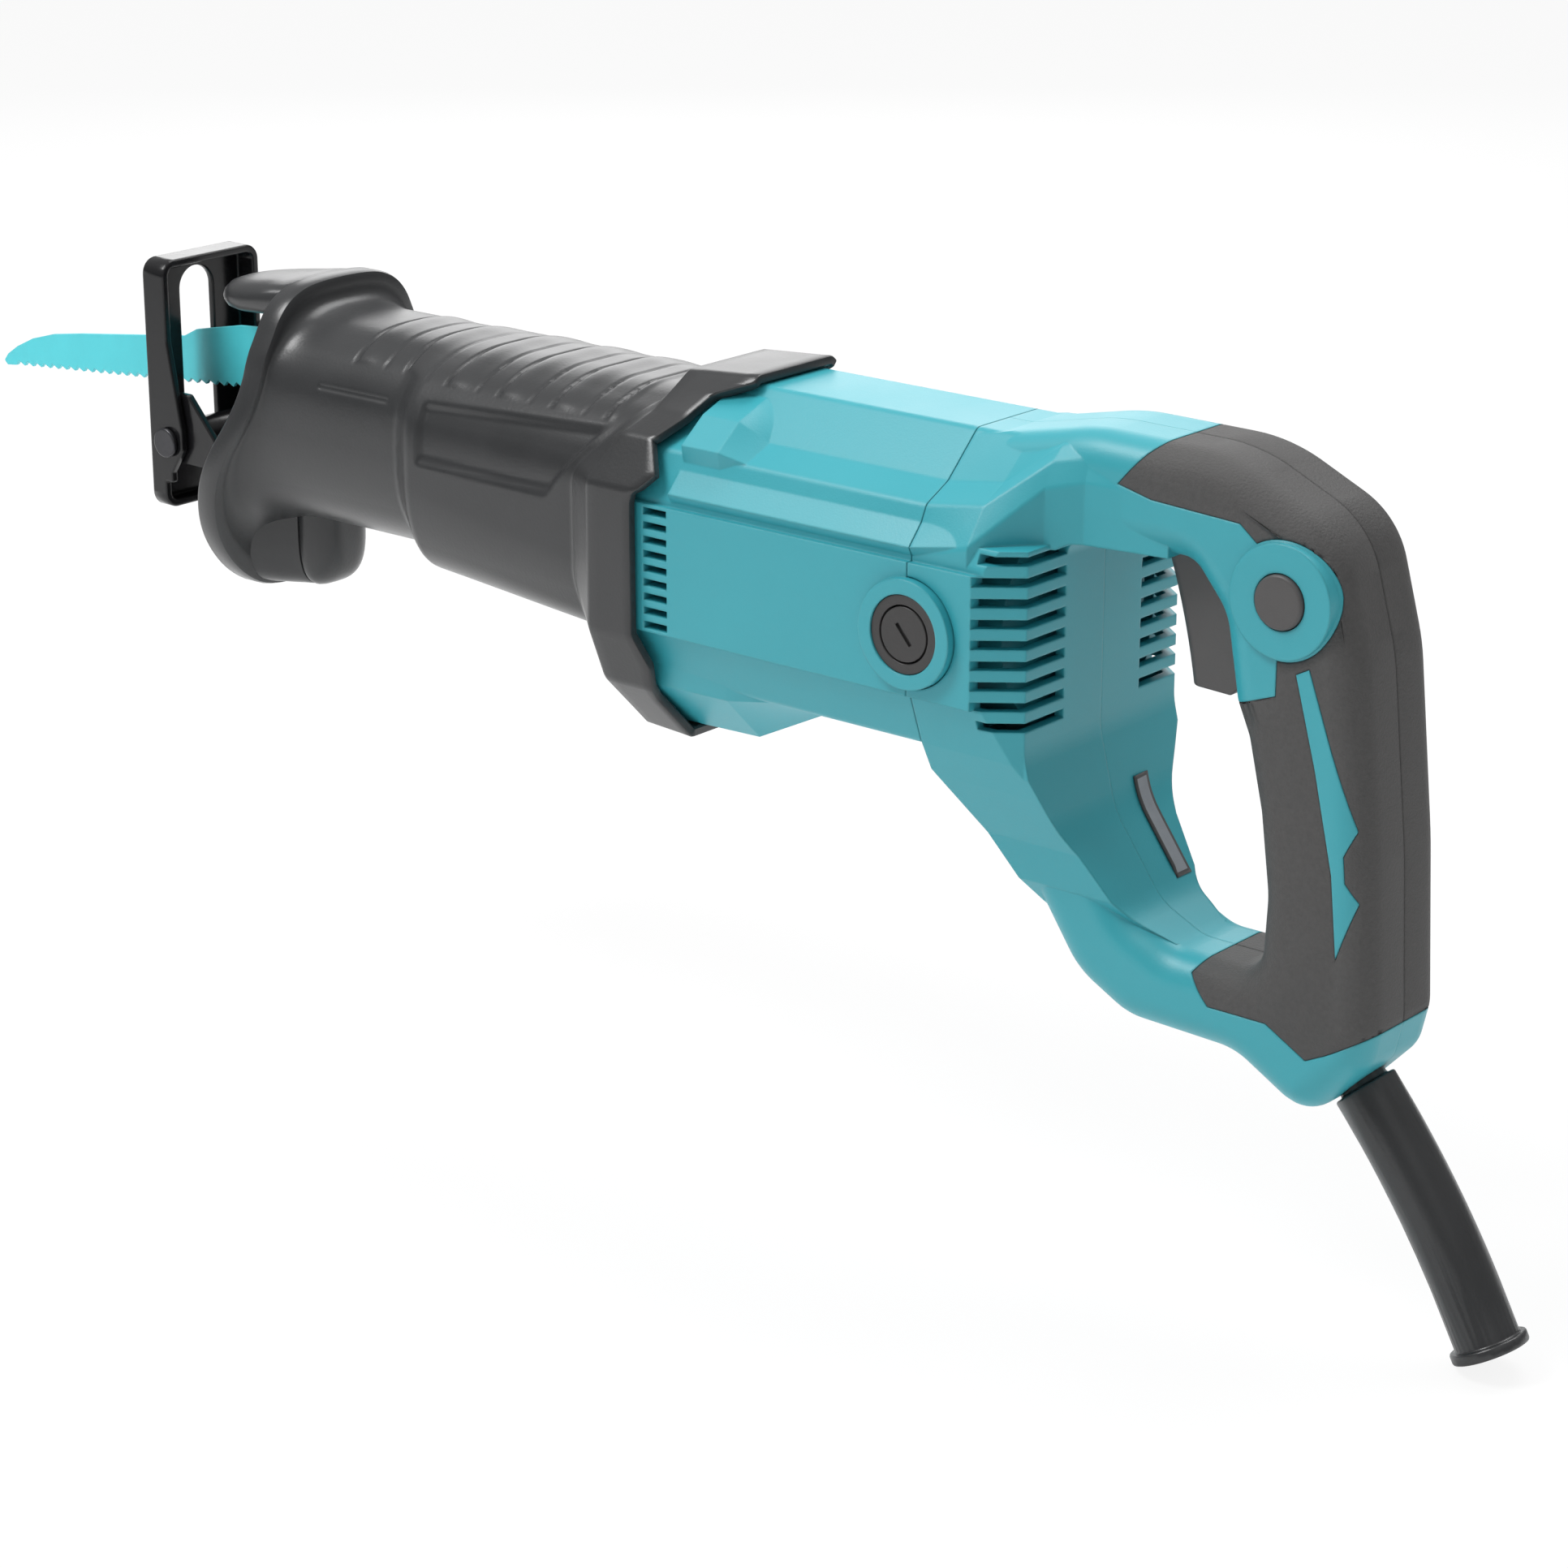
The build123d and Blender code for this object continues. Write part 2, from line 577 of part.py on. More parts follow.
with BuildPart() as casing:
    loft(casing_shapes, ruled=True)
    extrude(flange_face, amount=casing_rear_x - flange_x)
    block(crank_room_front_x, bearing_wall_x, -crank_room_half, crank_room_half,
          crank_floor_z, crank_room_top_z, mode=Mode.SUBTRACT)
    rod(bearing_wall_end_x, casing_rear_x - bearing_wall_end_x, air_room_r, motor_z, mode=Mode.SUBTRACT)
    post(crank_x, 0, crank_floor_z, 2 * crank_bearing_len + seat_gap, crank_bearing_r + crank_boss_wall)
    post(crank_x, 0, crank_floor_z, 2 * crank_bearing_len + seat_gap, crank_bearing_r, mode=Mode.SUBTRACT)
    with BuildSketch(Plane.YZ.offset(casing_rear_x)) as screw_holes:
        with Locations(*screw_bosses):
            Circle(housing_screw_r)
    extrude(screw_holes.sketch, amount=-housing_screw_depth - 1, mode=Mode.SUBTRACT)
    rod(casing_front_x, seal_len, front_bush_r + 1, mode=Mode.SUBTRACT)
    rod(bush_x, front_bush_len, front_bush_r, mode=Mode.SUBTRACT)
    rod(bush_x, crank_room_front_x - bush_x, slider_r + slide_gap, mode=Mode.SUBTRACT)
    rod(bearing_wall_x, casing_rear_x - bearing_wall_x, rear_bush_r, mode=Mode.SUBTRACT)
    rod(bearing_wall_x, bearing_wall_len, pinion_hub_r + 1, motor_z, mode=Mode.SUBTRACT)
    rod(front_bearing_x, bearing_wall_end_x - front_bearing_x, front_bearing_r, motor_z, mode=Mode.SUBTRACT)
    block(casing_front_x, arm_rear_x + slide_gap, -arm_half_width - slide_gap, arm_half_width + slide_gap,
          arm_top_z - arm_thick - slide_gap, arm_top_z + slide_gap, mode=Mode.SUBTRACT)
    for x, y in cover_screws:
        post(x, y, cover_head_z - cover_screw_len, 30, cover_screw_r, mode=Mode.SUBTRACT)
        post(x, y, cover_head_z, 30, cover_screw_head_r, mode=Mode.SUBTRACT)
cover_zone = (cover_front_x, cover_rear_x, -far_side, far_side, cover_split_z, far_side)
with BuildPart() as gear_housing:
    add(casing.part)
    block(*cover_zone, mode=Mode.SUBTRACT)
keep(gear_housing, "gear_housing")
with BuildPart() as gear_cover:
    block(*cover_zone)
    add(casing.part, mode=Mode.INTERSECT)
keep(gear_cover, "gear_housing_cover")
with BuildPart() as gear_cover_screws:
    for x, y in cover_screws:
        post(x, y, cover_head_z - cover_screw_len, cover_screw_len, cover_screw_r - press_gap)
        post(x, y, cover_head_z, 2.4, cover_screw_head_r - seat_gap)
keep(gear_cover_screws, "gear_cover_screws")

# Slider bushes and the front dust seal
with BuildPart() as front_bush:
    rod(bush_x, front_bush_len, front_bush_r - press_gap)
    rod(bush_x, front_bush_len, slider_r + run_gap, mode=Mode.SUBTRACT)
keep(front_bush, "slider_front_bush")
with BuildPart() as rear_bush:
    rod(bearing_wall_x, bearing_wall_len, rear_bush_r - press_gap)
    rod(bearing_wall_x, bearing_wall_len, slider_tail_r + run_gap, mode=Mode.SUBTRACT)
keep(rear_bush, "slider_rear_bush")
with BuildPart() as dust_seal:
    rod(casing_front_x, seal_len, front_bush_r + 1)
    rod(casing_front_x, seal_len, slider_r + run_gap, mode=Mode.SUBTRACT)
keep(dust_seal, "slider_dust_seal")

# Bevel pair: both pitch cones meet at the crossing of the crank and motor axes
gear_pitch_r = tooth_module * gear_teeth / 2
pinion_pitch_r = tooth_module * pinion_teeth / 2
cone_length = (gear_pitch_r ** 2 + pinion_pitch_r ** 2) ** 0.5
cone_out = gear_pitch_r / cone_length
cone_up = pinion_pitch_r / cone_length
inner_scale = 1 - tooth_face / cone_length
apex = Vector(crank_x, 0, motor_z)
element = Vector(cone_out, 0, cone_up)
toward_pinion = Vector(cone_up, 0, -cone_out)


def bevel_tooth(tip_direction):
    """One tapered tooth on the shared cone line, pointing along tip_direction."""
    width = tooth_share * pi * tooth_module
    with BuildPart() as tooth:
        for scale in (1.0, inner_scale):
            spot = apex + element * (cone_length * scale)
            plane = Plane(origin=spot, x_dir=tip_direction, z_dir=element)
            with BuildSketch(plane):
                with BuildLine():
                    root = -(dedendum + tooth_root_sink) * scale
                    tip = addendum * scale
                    side = width * scale / 2
                    Polyline((root, -side), (tip, -side * tip_share), (tip, side * tip_share), (root, side),
                             close=True)
                make_face()
        loft(ruled=True)
    return tooth.part


def root_point(scale, sign):
    """Point of the root cone in the X-Z plane: sign -1 for the gear, +1 for the pinion."""
    spot = apex + element * (cone_length * scale) + toward_pinion * (sign * dedendum * scale)
    return spot.X, spot.Z


gear_tooth = bevel_tooth(toward_pinion)
pinion_tooth = bevel_tooth(toward_pinion * -1)

# Crank gear: bevel ring under a disc that carries the crank pin, on a long spindle
with BuildPart() as crank_gear:
    with BuildSketch(Plane.XZ):
        with BuildLine():
            outer = root_point(1 + rim_share, -1)
            inner = root_point(inner_scale - rim_share, -1)
            Polyline((crank_x, gear_top_z), (outer[0], gear_top_z), outer, inner, (crank_x, inner[1]),
                     close=True)
        make_face()
    revolve(axis=Axis((crank_x, 0, 0), (0, 0, 1)))
    turn = Axis((crank_x, 0, 0), (0, 0, 1))
    add([gear_tooth.rotate(turn, (index + 0.5) * 360 / gear_teeth) for index in range(gear_teeth)])
    post(crank_x, throw, gear_top_z, -yoke_half_height - slide_gap - 0.2 - gear_top_z, crank_pin_r)
keep(crank_gear, "crank_gear")
with BuildPart() as crank_spindle:
    post(crank_x, 0, crank_floor_z + slide_gap, inner[1] - crank_floor_z - slide_gap, crank_shaft_r)
keep(crank_spindle, "crank_spindle")
for index, name in enumerate(("crank_lower_bearing", "crank_upper_bearing")):
    bearing_z = crank_floor_z + index * (crank_bearing_len + seat_gap)
    with BuildPart() as crank_bearing:
        post(crank_x, 0, bearing_z, crank_bearing_len, crank_bearing_r)
        post(crank_x, 0, bearing_z, crank_bearing_len, crank_shaft_r + run_gap, mode=Mode.SUBTRACT)
    keep(crank_bearing, name)

# Drive pinion: bevel teeth with a hub pressed on the nose of the armature shaft
motor_axis = Axis((0, 0, motor_z), (1, 0, 0))
pinion_rear = root_point(1.0, 1)
pinion_front = root_point(inner_scale, 1)
hub_rear_x = front_bearing_x
with BuildPart() as drive_pinion:
    with BuildSketch(Plane.XZ):
        with BuildLine():
            Polyline((pinion_front[0], motor_z), pinion_front, pinion_rear, (pinion_rear[0], motor_z),
                     close=True)
        make_face()
    revolve(axis=motor_axis)
    add([pinion_tooth.rotate(motor_axis, index * 360 / pinion_teeth) for index in range(pinion_teeth)])
    rod(pinion_rear[0] - 0.5, 2, pinion_rear[1] - motor_z - 0.1, motor_z)
    rod(hub_rear_x - pinion_hub_len, pinion_hub_len, pinion_hub_r, motor_z)
    rod(hub_rear_x - pinion_hub_len, pinion_hub_len, pinion_bore_r, motor_z, mode=Mode.SUBTRACT)
keep(drive_pinion, "drive_pinion")

# Armature: shaft, laminated core, windings, commutator and fan turn as one
shaft_rear_x = rear_bearing_x + rear_bearing_len + 1.0
core_end_x = core_x + core_len
slot_count = 12
slot_deep = 8.0
slot_wide = 3.2
with BuildPart() as armature_shaft:
    rod(hub_rear_x - pinion_hub_len, pinion_hub_len, pinion_bore_r - press_gap, motor_z)
    rod(hub_rear_x, rear_bearing_x - hub_rear_x, shaft_r, motor_z)
    rod(rear_bearing_x, shaft_rear_x - rear_bearing_x, rear_journal_r, motor_z)
keep(armature_shaft, "armature_shaft")
with BuildPart() as armature_core:
    rod(core_x, core_len, core_r, motor_z)
    rod(core_x, core_len, shaft_r + press_gap, motor_z, mode=Mode.SUBTRACT)
    with BuildSketch(Plane.YZ.offset(core_x)):
        with Locations((0, motor_z)):
            with PolarLocations(core_r - slot_deep / 2 + 0.5, slot_count):
                Rectangle(slot_deep + 1, slot_wide)
    extrude(amount=core_len, mode=Mode.SUBTRACT)
keep(armature_core, "armature_core")
with BuildPart() as armature_winding:
    for x in (core_x - winding_len, core_end_x):
        rod(x, winding_len, winding_r, motor_z)
    with BuildSketch(Plane.YZ.offset(core_x)):
        with Locations((0, motor_z)):
            with PolarLocations(core_r - slot_deep / 2 - 0.5, slot_count):
                Rectangle(slot_deep - 1.2, slot_wide - 2 * seat_gap)
    extrude(amount=core_len)
    rod(core_x - winding_len, core_len + 2 * winding_len, shaft_r + press_gap, motor_z, mode=Mode.SUBTRACT)
keep(armature_winding, "armature_winding")
with BuildPart() as commutator:
    rod(commutator_x, commutator_len, commutator_r, motor_z)
    rod(commutator_x, commutator_len, shaft_r + press_gap, motor_z, mode=Mode.SUBTRACT)
    with BuildSketch(Plane.YZ.offset(commutator_x + 3)):
        with Locations((0, motor_z)):
            with PolarLocations(commutator_r, 2 * slot_count):
                Rectangle(2.4, 0.6)
    extrude(amount=commutator_len, mode=Mode.SUBTRACT)
keep(commutator, "commutator")
with BuildPart() as cooling_fan:
    rod(fan_x, fan_len, 2 * shaft_r, motor_z)
    rod(fan_x + fan_len - 2, 2, fan_r, motor_z)
    with BuildSketch(Plane.YZ.offset(fan_x)):
        with Locations((0, motor_z)):
            with PolarLocations((fan_r + 2.8 * shaft_r) / 2, fan_blades):
                Rectangle(fan_r - 2.8 * shaft_r - 1, 1.6)
    extrude(amount=fan_len)
    rod(fan_x, fan_len, shaft_r + press_gap, motor_z, mode=Mode.SUBTRACT)
keep(cooling_fan, "cooling_fan")

# Motor bearings
with BuildPart() as front_bearing:
    rod(front_bearing_x, front_bearing_len, front_bearing_r, motor_z)
    rod(front_bearing_x, front_bearing_len, shaft_r + run_gap, motor_z, mode=Mode.SUBTRACT)
keep(front_bearing, "motor_front_bearing")
with BuildPart() as rear_bearing:
    rod(rear_bearing_x, rear_bearing_len, rear_bearing_r, motor_z)
    rod(rear_bearing_x, rear_bearing_len, rear_journal_r + run_gap, motor_z, mode=Mode.SUBTRACT)
keep(rear_bearing, "motor_rear_bearing")

# Field: two-pole laminated ring with a coil above and one below the armature
field_bore_r = core_r + air_gap
window_r = field_bore_r + 7.4
window_half = 38.0
coil_gap = 0.6


def ring_sector(x, inner_r, outer_r, from_deg, to_deg):
    """Part of a ring about the motor axis in the plane at x, as a sketch."""
    with BuildSketch(Plane.YZ.offset(x)) as sector:
        with Locations((0, motor_z)):
            Circle(outer_r)
            Circle(inner_r, mode=Mode.SUBTRACT)
            with BuildLine():
                reach = 2 * outer_r
                middle = (from_deg + to_deg) / 2
                rays = [(reach * cos(radians(a)), motor_z + reach * sin(radians(a)))
                        for a in (from_deg, middle, to_deg)]
                Polyline((0, motor_z), *rays, close=True)
            make_face(mode=Mode.INTERSECT)
    return sector.sketch


with BuildPart() as field_core:
    rod(core_x, core_len, field_r, motor_z)
    rod(core_x, core_len, field_bore_r, motor_z, mode=Mode.SUBTRACT)
    for middle in (0, 180):
        window = ring_sector(core_x, field_bore_r - 1, window_r, middle - window_half, middle + window_half)
        extrude(window, amount=core_len, mode=Mode.SUBTRACT)
keep(field_core, "field_core")
coil_in_r = field_bore_r + coil_gap
coil_out_r = window_r - coil_gap
with BuildPart() as field_coils:
    for base in (0, 180):
        for x in (core_x - winding_len, core_end_x + seat_gap):
            bend = ring_sector(x, coil_in_r, coil_out_r, base + 3, base + 177)
            extrude(bend, amount=winding_len - seat_gap)
        for start, end in ((3, window_half - 2), (180 - window_half + 2, 177)):
            leg = ring_sector(core_x - winding_len, coil_in_r, coil_out_r, base + start, base + end)
            extrude(leg, amount=core_len + 2 * winding_len)
keep(field_coils, "field_coils")

# Fan baffle: plate that leads the air from the field to the fan
baffle_x = fan_x + fan_len + 1.5
baffle_r = field_r + 1.0
with BuildPart() as fan_baffle:
    rod(baffle_x, baffle_thick, baffle_r, motor_z)
    rod(baffle_x, baffle_thick, field_bore_r + 2, motor_z, mode=Mode.SUBTRACT)
keep(fan_baffle, "fan_baffle")

# Motor housing: faceted shell with cooling slots, field rings, brush bosses and the rear bearing bell
vent_pitch = (panel_top_z - panel_bottom_z) / vent_count
panel_y = motor_half[3][0] + panel_rise
bell_front_x = core_end_x + winding_len + 1.0
bell_end_x = rear_bearing_x + rear_bearing_len + 3.0
upper_boss = [(16, 25), (28, 20.5), (37, 13.5), (36, 8), (22, 8)]
upper_boss_end = [(16, 22), (25, 14), (33.5, 10), (33, 8), (22, 8)]
upper_boss_front_x = 237.0
upper_boss_x = 250.0
upper_boss_end_x = 262.0
brow = [(35, 9), (42.3, 0.8), (40.6, -2.4), (35, -2.4)]
brow_end = [(33, 13), (40.4, 3.5), (39.5, 0), (33, 0)]
brow_x = 236.5
brow_end_x = 337.0


def side_ridge(side, stations):
    """Ridge along one side of the body, lofted through its outlines at (x, points)."""
    shapes = []
    for x, points in stations:
        with BuildSketch(Plane.YZ.offset(x)) as outline:
            with BuildLine():
                Polyline(*[(side * y, z) for y, z in points], close=True)
            make_face()
        shapes.append(outline.sketch)
    with BuildPart() as ridge:
        loft(shapes, ruled=True)
    return ridge.part


boss_stations = ((upper_boss_front_x, upper_boss), (upper_boss_x, upper_boss),
                 (upper_boss_end_x, upper_boss_end))
brow_stations = ((brow_x, brow), (seam_x, brow))
ridges = [side_ridge(side, stations) for side in (-1, 1) for stations in (boss_stations, brow_stations)]
lower_boss = [section(x, half, 0) for x, half in lower_boss_levels]
with BuildPart() as motor_housing:
    extrude(section(housing_front_x, motor_half, 0, motor_round), amount=seam_x - housing_front_x)
    for side in (-1, 1):
        block(housing_front_x, seam_x, min(side * 30, side * panel_y), max(side * 30, side * panel_y),
              panel_bottom_z, panel_top_z)
    add(ridges)
    loft(lower_boss, ruled=True)
    extrude(section(housing_front_x, motor_half, motor_wall), amount=seam_x - housing_front_x,
            mode=Mode.SUBTRACT)
    block(housing_front_x, boss_rear_x - 2, motor_wall - boss_half_width, boss_half_width - motor_wall,
          boss_bottom_z + motor_wall, motor_half[-1][1] + motor_wall, mode=Mode.SUBTRACT)
    rings = [(core_x + 4, 4, field_r + seat_gap), (core_end_x - 8, 4, field_r + seat_gap),
             (baffle_x, baffle_thick, baffle_r + seat_gap), (bell_front_x, bell_wall, bell_r - bell_wall)]
    for x, length, bore_r in rings:
        extrude(section(x, motor_half, motor_wall - 0.5, bore_r=bore_r), amount=length)
    rod(bell_front_x, bell_end_x - bell_front_x, bell_r, motor_z)
    rod(bell_front_x, bell_end_x - bell_front_x - bell_wall, bell_r - bell_wall, motor_z, mode=Mode.SUBTRACT)
    rod(rear_bearing_x, bell_end_x - rear_bearing_x, rear_bearing_r + bell_wall, motor_z)
    rod(rear_bearing_x, rear_bearing_len, rear_bearing_r, motor_z, mode=Mode.SUBTRACT)
    rod(rear_bearing_x, shaft_rear_x - rear_bearing_x + 0.5, rear_journal_r + 1, motor_z, mode=Mode.SUBTRACT)
    with BuildSketch(Plane.YZ.offset(housing_front_x)) as boss_tubes:
        with Locations(*screw_bosses):
            Circle(housing_screw_boss_r)
    extrude(boss_tubes.sketch, amount=housing_boss_len)
    for y, z in screw_bosses:
        if z < motor_z:
            block(housing_front_x, housing_front_x + housing_boss_len, y - 2, y + 2, boss_bottom_z + 1, z)
    with BuildSketch(Plane.YZ.offset(housing_front_x)) as boss_holes:
        with Locations(*screw_bosses):
            Circle(housing_screw_r)
    extrude(boss_holes.sketch, amount=housing_boss_len, mode=Mode.SUBTRACT)
    for side in (-1, 1):
        start = 28.0 if side > 0 else -brush_cap_face_y - 0.4
        cross_rod(brush_x, start, motor_z, brush_cap_face_y + 0.4 - 28, brush_boss_r)
        hole_start = brush_cap_face_y - brush_cap_len if side > 0 else -brush_cap_face_y - 1
        cross_rod(brush_x, hole_start, motor_z, brush_cap_len + 1, brush_cap_r + seat_gap, mode=Mode.SUBTRACT)
        tube_x = brush_half_x + brush_tube_wall
        tube_z = brush_half_z + brush_tube_wall
        block(brush_x - tube_x, brush_x + tube_x, min(side * 20, side * 42), max(side * 20, side * 42),
              motor_z - tube_z, motor_z + tube_z, mode=Mode.SUBTRACT)
    with BuildSketch(Plane.XZ.offset(far_side)) as vents:
        with Locations(((vent_front_x + vent_rear_x) / 2, (panel_top_z + panel_bottom_z) / 2)):
            with GridLocations(1, vent_pitch, 1, vent_count):
                Rectangle(vent_rear_x - vent_front_x, vent_high)
    extrude(vents.sketch, amount=-2 * far_side, mode=Mode.SUBTRACT)
keep(motor_housing, "motor_housing")

# Long screws that draw the motor housing on to the gear housing
with BuildPart() as housing_screws:
    for y, z in screw_bosses:
        for x, length, radius in ((casing_rear_x - housing_screw_depth, housing_screw_depth + 14,
                                   housing_screw_r - press_gap),
                                  (housing_front_x + 14, 4, housing_screw_head_r)):
            with BuildSketch(Plane.YZ.offset(x)) as disc:
                with Locations((y, z)):
                    Circle(radius)
            extrude(disc.sketch, amount=length)
keep(housing_screws, "housing_screws")

# Brush gear: a tube, a carbon brush, its rolled strip spring and a screw cap on each side
brush_face_y = commutator_r + 0.2
tube_start_y = commutator_r + 2.0
cap_inner_y = brush_cap_face_y - brush_cap_len
spring_half = 2.2
spring_strip = 1.0
with BuildPart() as brush_holders:
    for side in (-1, 1):
        limits = sorted((side * tube_start_y, side * cap_inner_y))
        block(brush_x - tube_x + press_gap, brush_x + tube_x - press_gap, *limits,
              motor_z - tube_z + press_gap, motor_z + tube_z - press_gap)
        block(brush_x - brush_half_x - seat_gap, brush_x + brush_half_x + seat_gap, *limits,
              motor_z - brush_half_z - seat_gap, motor_z + brush_half_z + seat_gap, mode=Mode.SUBTRACT)
keep(brush_holders, "brush_holders")
with BuildPart() as carbon_brushes:
    for side in (-1, 1):
        limits = sorted((side * brush_face_y, side * (brush_face_y + brush_len)))
        block(brush_x - brush_half_x, brush_x + brush_half_x, *limits,
              motor_z - brush_half_z, motor_z + brush_half_z)
keep(carbon_brushes, "carbon_brushes")
with BuildPart() as brush_caps:
    for side in (-1, 1):
        start = cap_inner_y if side > 0 else -brush_cap_face_y
        cross_rod(brush_x, start, motor_z, brush_cap_len, brush_cap_r)
        with BuildSketch(Plane.XZ.offset(-side * brush_cap_face_y)) as cuts:
            with Locations((brush_x, motor_z)):
                Circle(cap_disc_r + 0.5)
                Circle(cap_disc_r, mode=Mode.SUBTRACT)
                Rectangle(7, 1.1, rotation=cap_slot_turn)
        extrude(cuts.sketch, amount=side, mode=Mode.SUBTRACT)
keep(brush_caps, "brush_caps")
spring_y = (cap_inner_y + brush_face_y + brush_len) / 2
spring_r = (cap_inner_y - brush_face_y - brush_len) / 2 - press_gap
with BuildPart() as brush_springs:
    with BuildSketch(Plane.YZ.offset(brush_x - spring_half)):
        with Locations((-spring_y, motor_z), (spring_y, motor_z)):
            Circle(spring_r)
            Circle(spring_r - spring_strip, mode=Mode.SUBTRACT)
    extrude(amount=2 * spring_half)
keep(brush_springs, "brush_springs")

# D handle: a loop with rounded edges, a cover behind the motor and a flare where the strut meets it


def side_profile(inset):
    """Side view of the handle with its hand opening, shrunk all round by inset, as a sketch on Y = 0."""
    with BuildSketch(Plane.XZ) as profile:
        with BuildLine():
            start = (handle_front_x, 25)
            end = (handle_front_x, -56)
            FilletPolyline(start, *[(x, z) for x, z, r in handle_outline], end,
                           radius=[r for x, z, r in handle_outline])
            Line(end, start)
        make_face()
        with BuildLine():
            FilletPolyline(*[(x, z) for x, z, r in opening_outline],
                           radius=[r for x, z, r in opening_outline], close=True)
        make_face(mode=Mode.SUBTRACT)
        if inset:
            offset(amount=-inset, kind=Kind.INTERSECTION, mode=Mode.REPLACE)
    return profile.sketch


def handle_loop(inset):
    """Loop of the handle, shrunk all round by inset."""
    profile = side_profile(inset)
    with BuildPart() as loop:
        extrude(profile, amount=handle_half_width - inset, both=True)
        sides = loop.faces().filter_by(Axis.Y)
        edges = [edge for face in sides for edge in face.edges()]
        fillet([edge for edge in edges if edge.center().X > seam_x + 4], handle_round - inset)
    return loop.part


def rear_cover(inset):
    """Cover behind the motor with cut rear corners, shrunk all round by inset."""
    with BuildPart() as cover:
        extrude(section(seam_x, motor_half, inset, motor_round), amount=rear_face_x - seam_x)
        block(seam_x, rear_face_x, -panel_y, panel_y, panel_bottom_z + inset, panel_top_z - inset)
        with BuildSketch(Plane.XY.offset(-far_side)) as plan:
            with BuildLine():
                corner = [(seam_x - 20, panel_y), (rear_chamfer_x, panel_y), (rear_face_x, rear_face_half)]
                Polyline(*corner, *[(x, -y) for x, y in reversed(corner)], close=True)
            make_face()
            if inset:
                offset(amount=-inset, kind=Kind.INTERSECTION, mode=Mode.REPLACE)
        extrude(plan.sketch, amount=2 * far_side, mode=Mode.INTERSECT)
        block(root_levels[1][0], far_side + rear_face_x, -far_side, far_side, box_top_z - inset, far_side,
              mode=Mode.SUBTRACT)
    return cover.part


def arm_root(inset):
    """Upper arm where it leaves the motor cover, from its ridges up, shrunk all round by inset."""
    rounding = 0.0 if inset else motor_round
    profile = side_profile(inset)
    shapes = []
    for x, half in root_levels:
        inner = [(y - inset, z - inset) for y, z in half]
        shapes.append(section(x, inner + [(inner[-1][0], root_floor_z + inset)], 0, rounding))
    with BuildPart() as root:
        loft(shapes, ruled=True)
        extrude(profile, amount=far_side, both=True, mode=Mode.INTERSECT)
    return root.part


def strut_flare(inset):
    """Strut that narrows from the motor cover down to the lower arm, shrunk all round by inset."""
    profile = side_profile(inset)
    shapes = []
    for z, half in strut_levels:
        with BuildSketch(Plane.XY.offset(z)) as level:
            with Locations((strut_end_x - far_side, 0)):
                Rectangle(2 * far_side, 2 * (half - inset))
        shapes.append(level.sketch)
    with BuildSketch(Plane.XY.offset(-3 * far_side)) as plan:
        with BuildLine():
            edge = [(rear_face_x - far_side, panel_y - inset), (rear_chamfer_x - inset, panel_y - inset),
                    (rear_face_x, rear_face_half - inset), (rear_face_x + far_side, rear_face_half - inset)]
            Polyline(*edge, *[(x, -y) for x, y in reversed(edge)], close=True)
        make_face()
    with BuildPart() as flare:
        loft(shapes, ruled=True)
        extrude(profile, amount=far_side, both=True, mode=Mode.INTERSECT)
        extrude(plan.sketch, amount=3 * far_side, mode=Mode.INTERSECT)
    return flare.part


loop_outer = handle_loop(0)
cover_outer = rear_cover(0)
root_outer = arm_root(0)
flare_outer = strut_flare(0)
brow_tails = [side_ridge(side, ((seam_x, brow), (brow_end_x, brow_end))) for side in (-1, 1)]
grip_region = [(369, 21.5), (376.5, 30), (392, 44), (470, 44), (470, -99), (438.5, -117.5), (432.5, -120.5),
               (420, -113.5), (402, -113.5), (395.5, -106), (402, -96), (398, -34), (406, -29.8), (419, -25),
               (419, 5), (414, 11.5), (406.5, 17.5), (379.5, 19)]
spear = [(425, -18.2), (428.7, -16.2), (443.6, -56.2), (440.8, -63), (441.5, -70), (445, -75.2),
         (440.2, -90.4), (437.9, -68.6), (431.7, -42)]
grip_seat = handle_loop(grip_thick)
with BuildPart() as grip:
    with BuildSketch(Plane.XZ.offset(far_side)):
        with BuildLine():
            Polyline(*grip_region, close=True)
        make_face()
        with BuildLine():
            Polyline(*spear, close=True)
        make_face(mode=Mode.SUBTRACT)
        with Locations((lock_x, lock_z)):
            Circle(lock_boss_r + 0.6, mode=Mode.SUBTRACT)
    extrude(amount=-2 * far_side)
    add(loop_outer, mode=Mode.INTERSECT)
    add(grip_seat, mode=Mode.SUBTRACT)
    for x, z in handle_screw_spots:
        cross_rod(x, 0, z, far_side, handle_screw_head_r + seat_gap, mode=Mode.SUBTRACT)

guard_heading = radians(guard_lean)
guard_way = Vector(cos(guard_heading), 0, sin(guard_heading))
guard_origin = Vector(guard_start[0], 0, guard_start[1])


def guard_disc(along, radius):
    """Disc across the cord guard at a distance along it from the handle's face, as a sketch."""
    face = Plane(origin=guard_origin + guard_way * along, x_dir=(0, 1, 0), z_dir=guard_way)
    with BuildSketch(face) as disc:
        Circle(radius)
    return disc.sketch


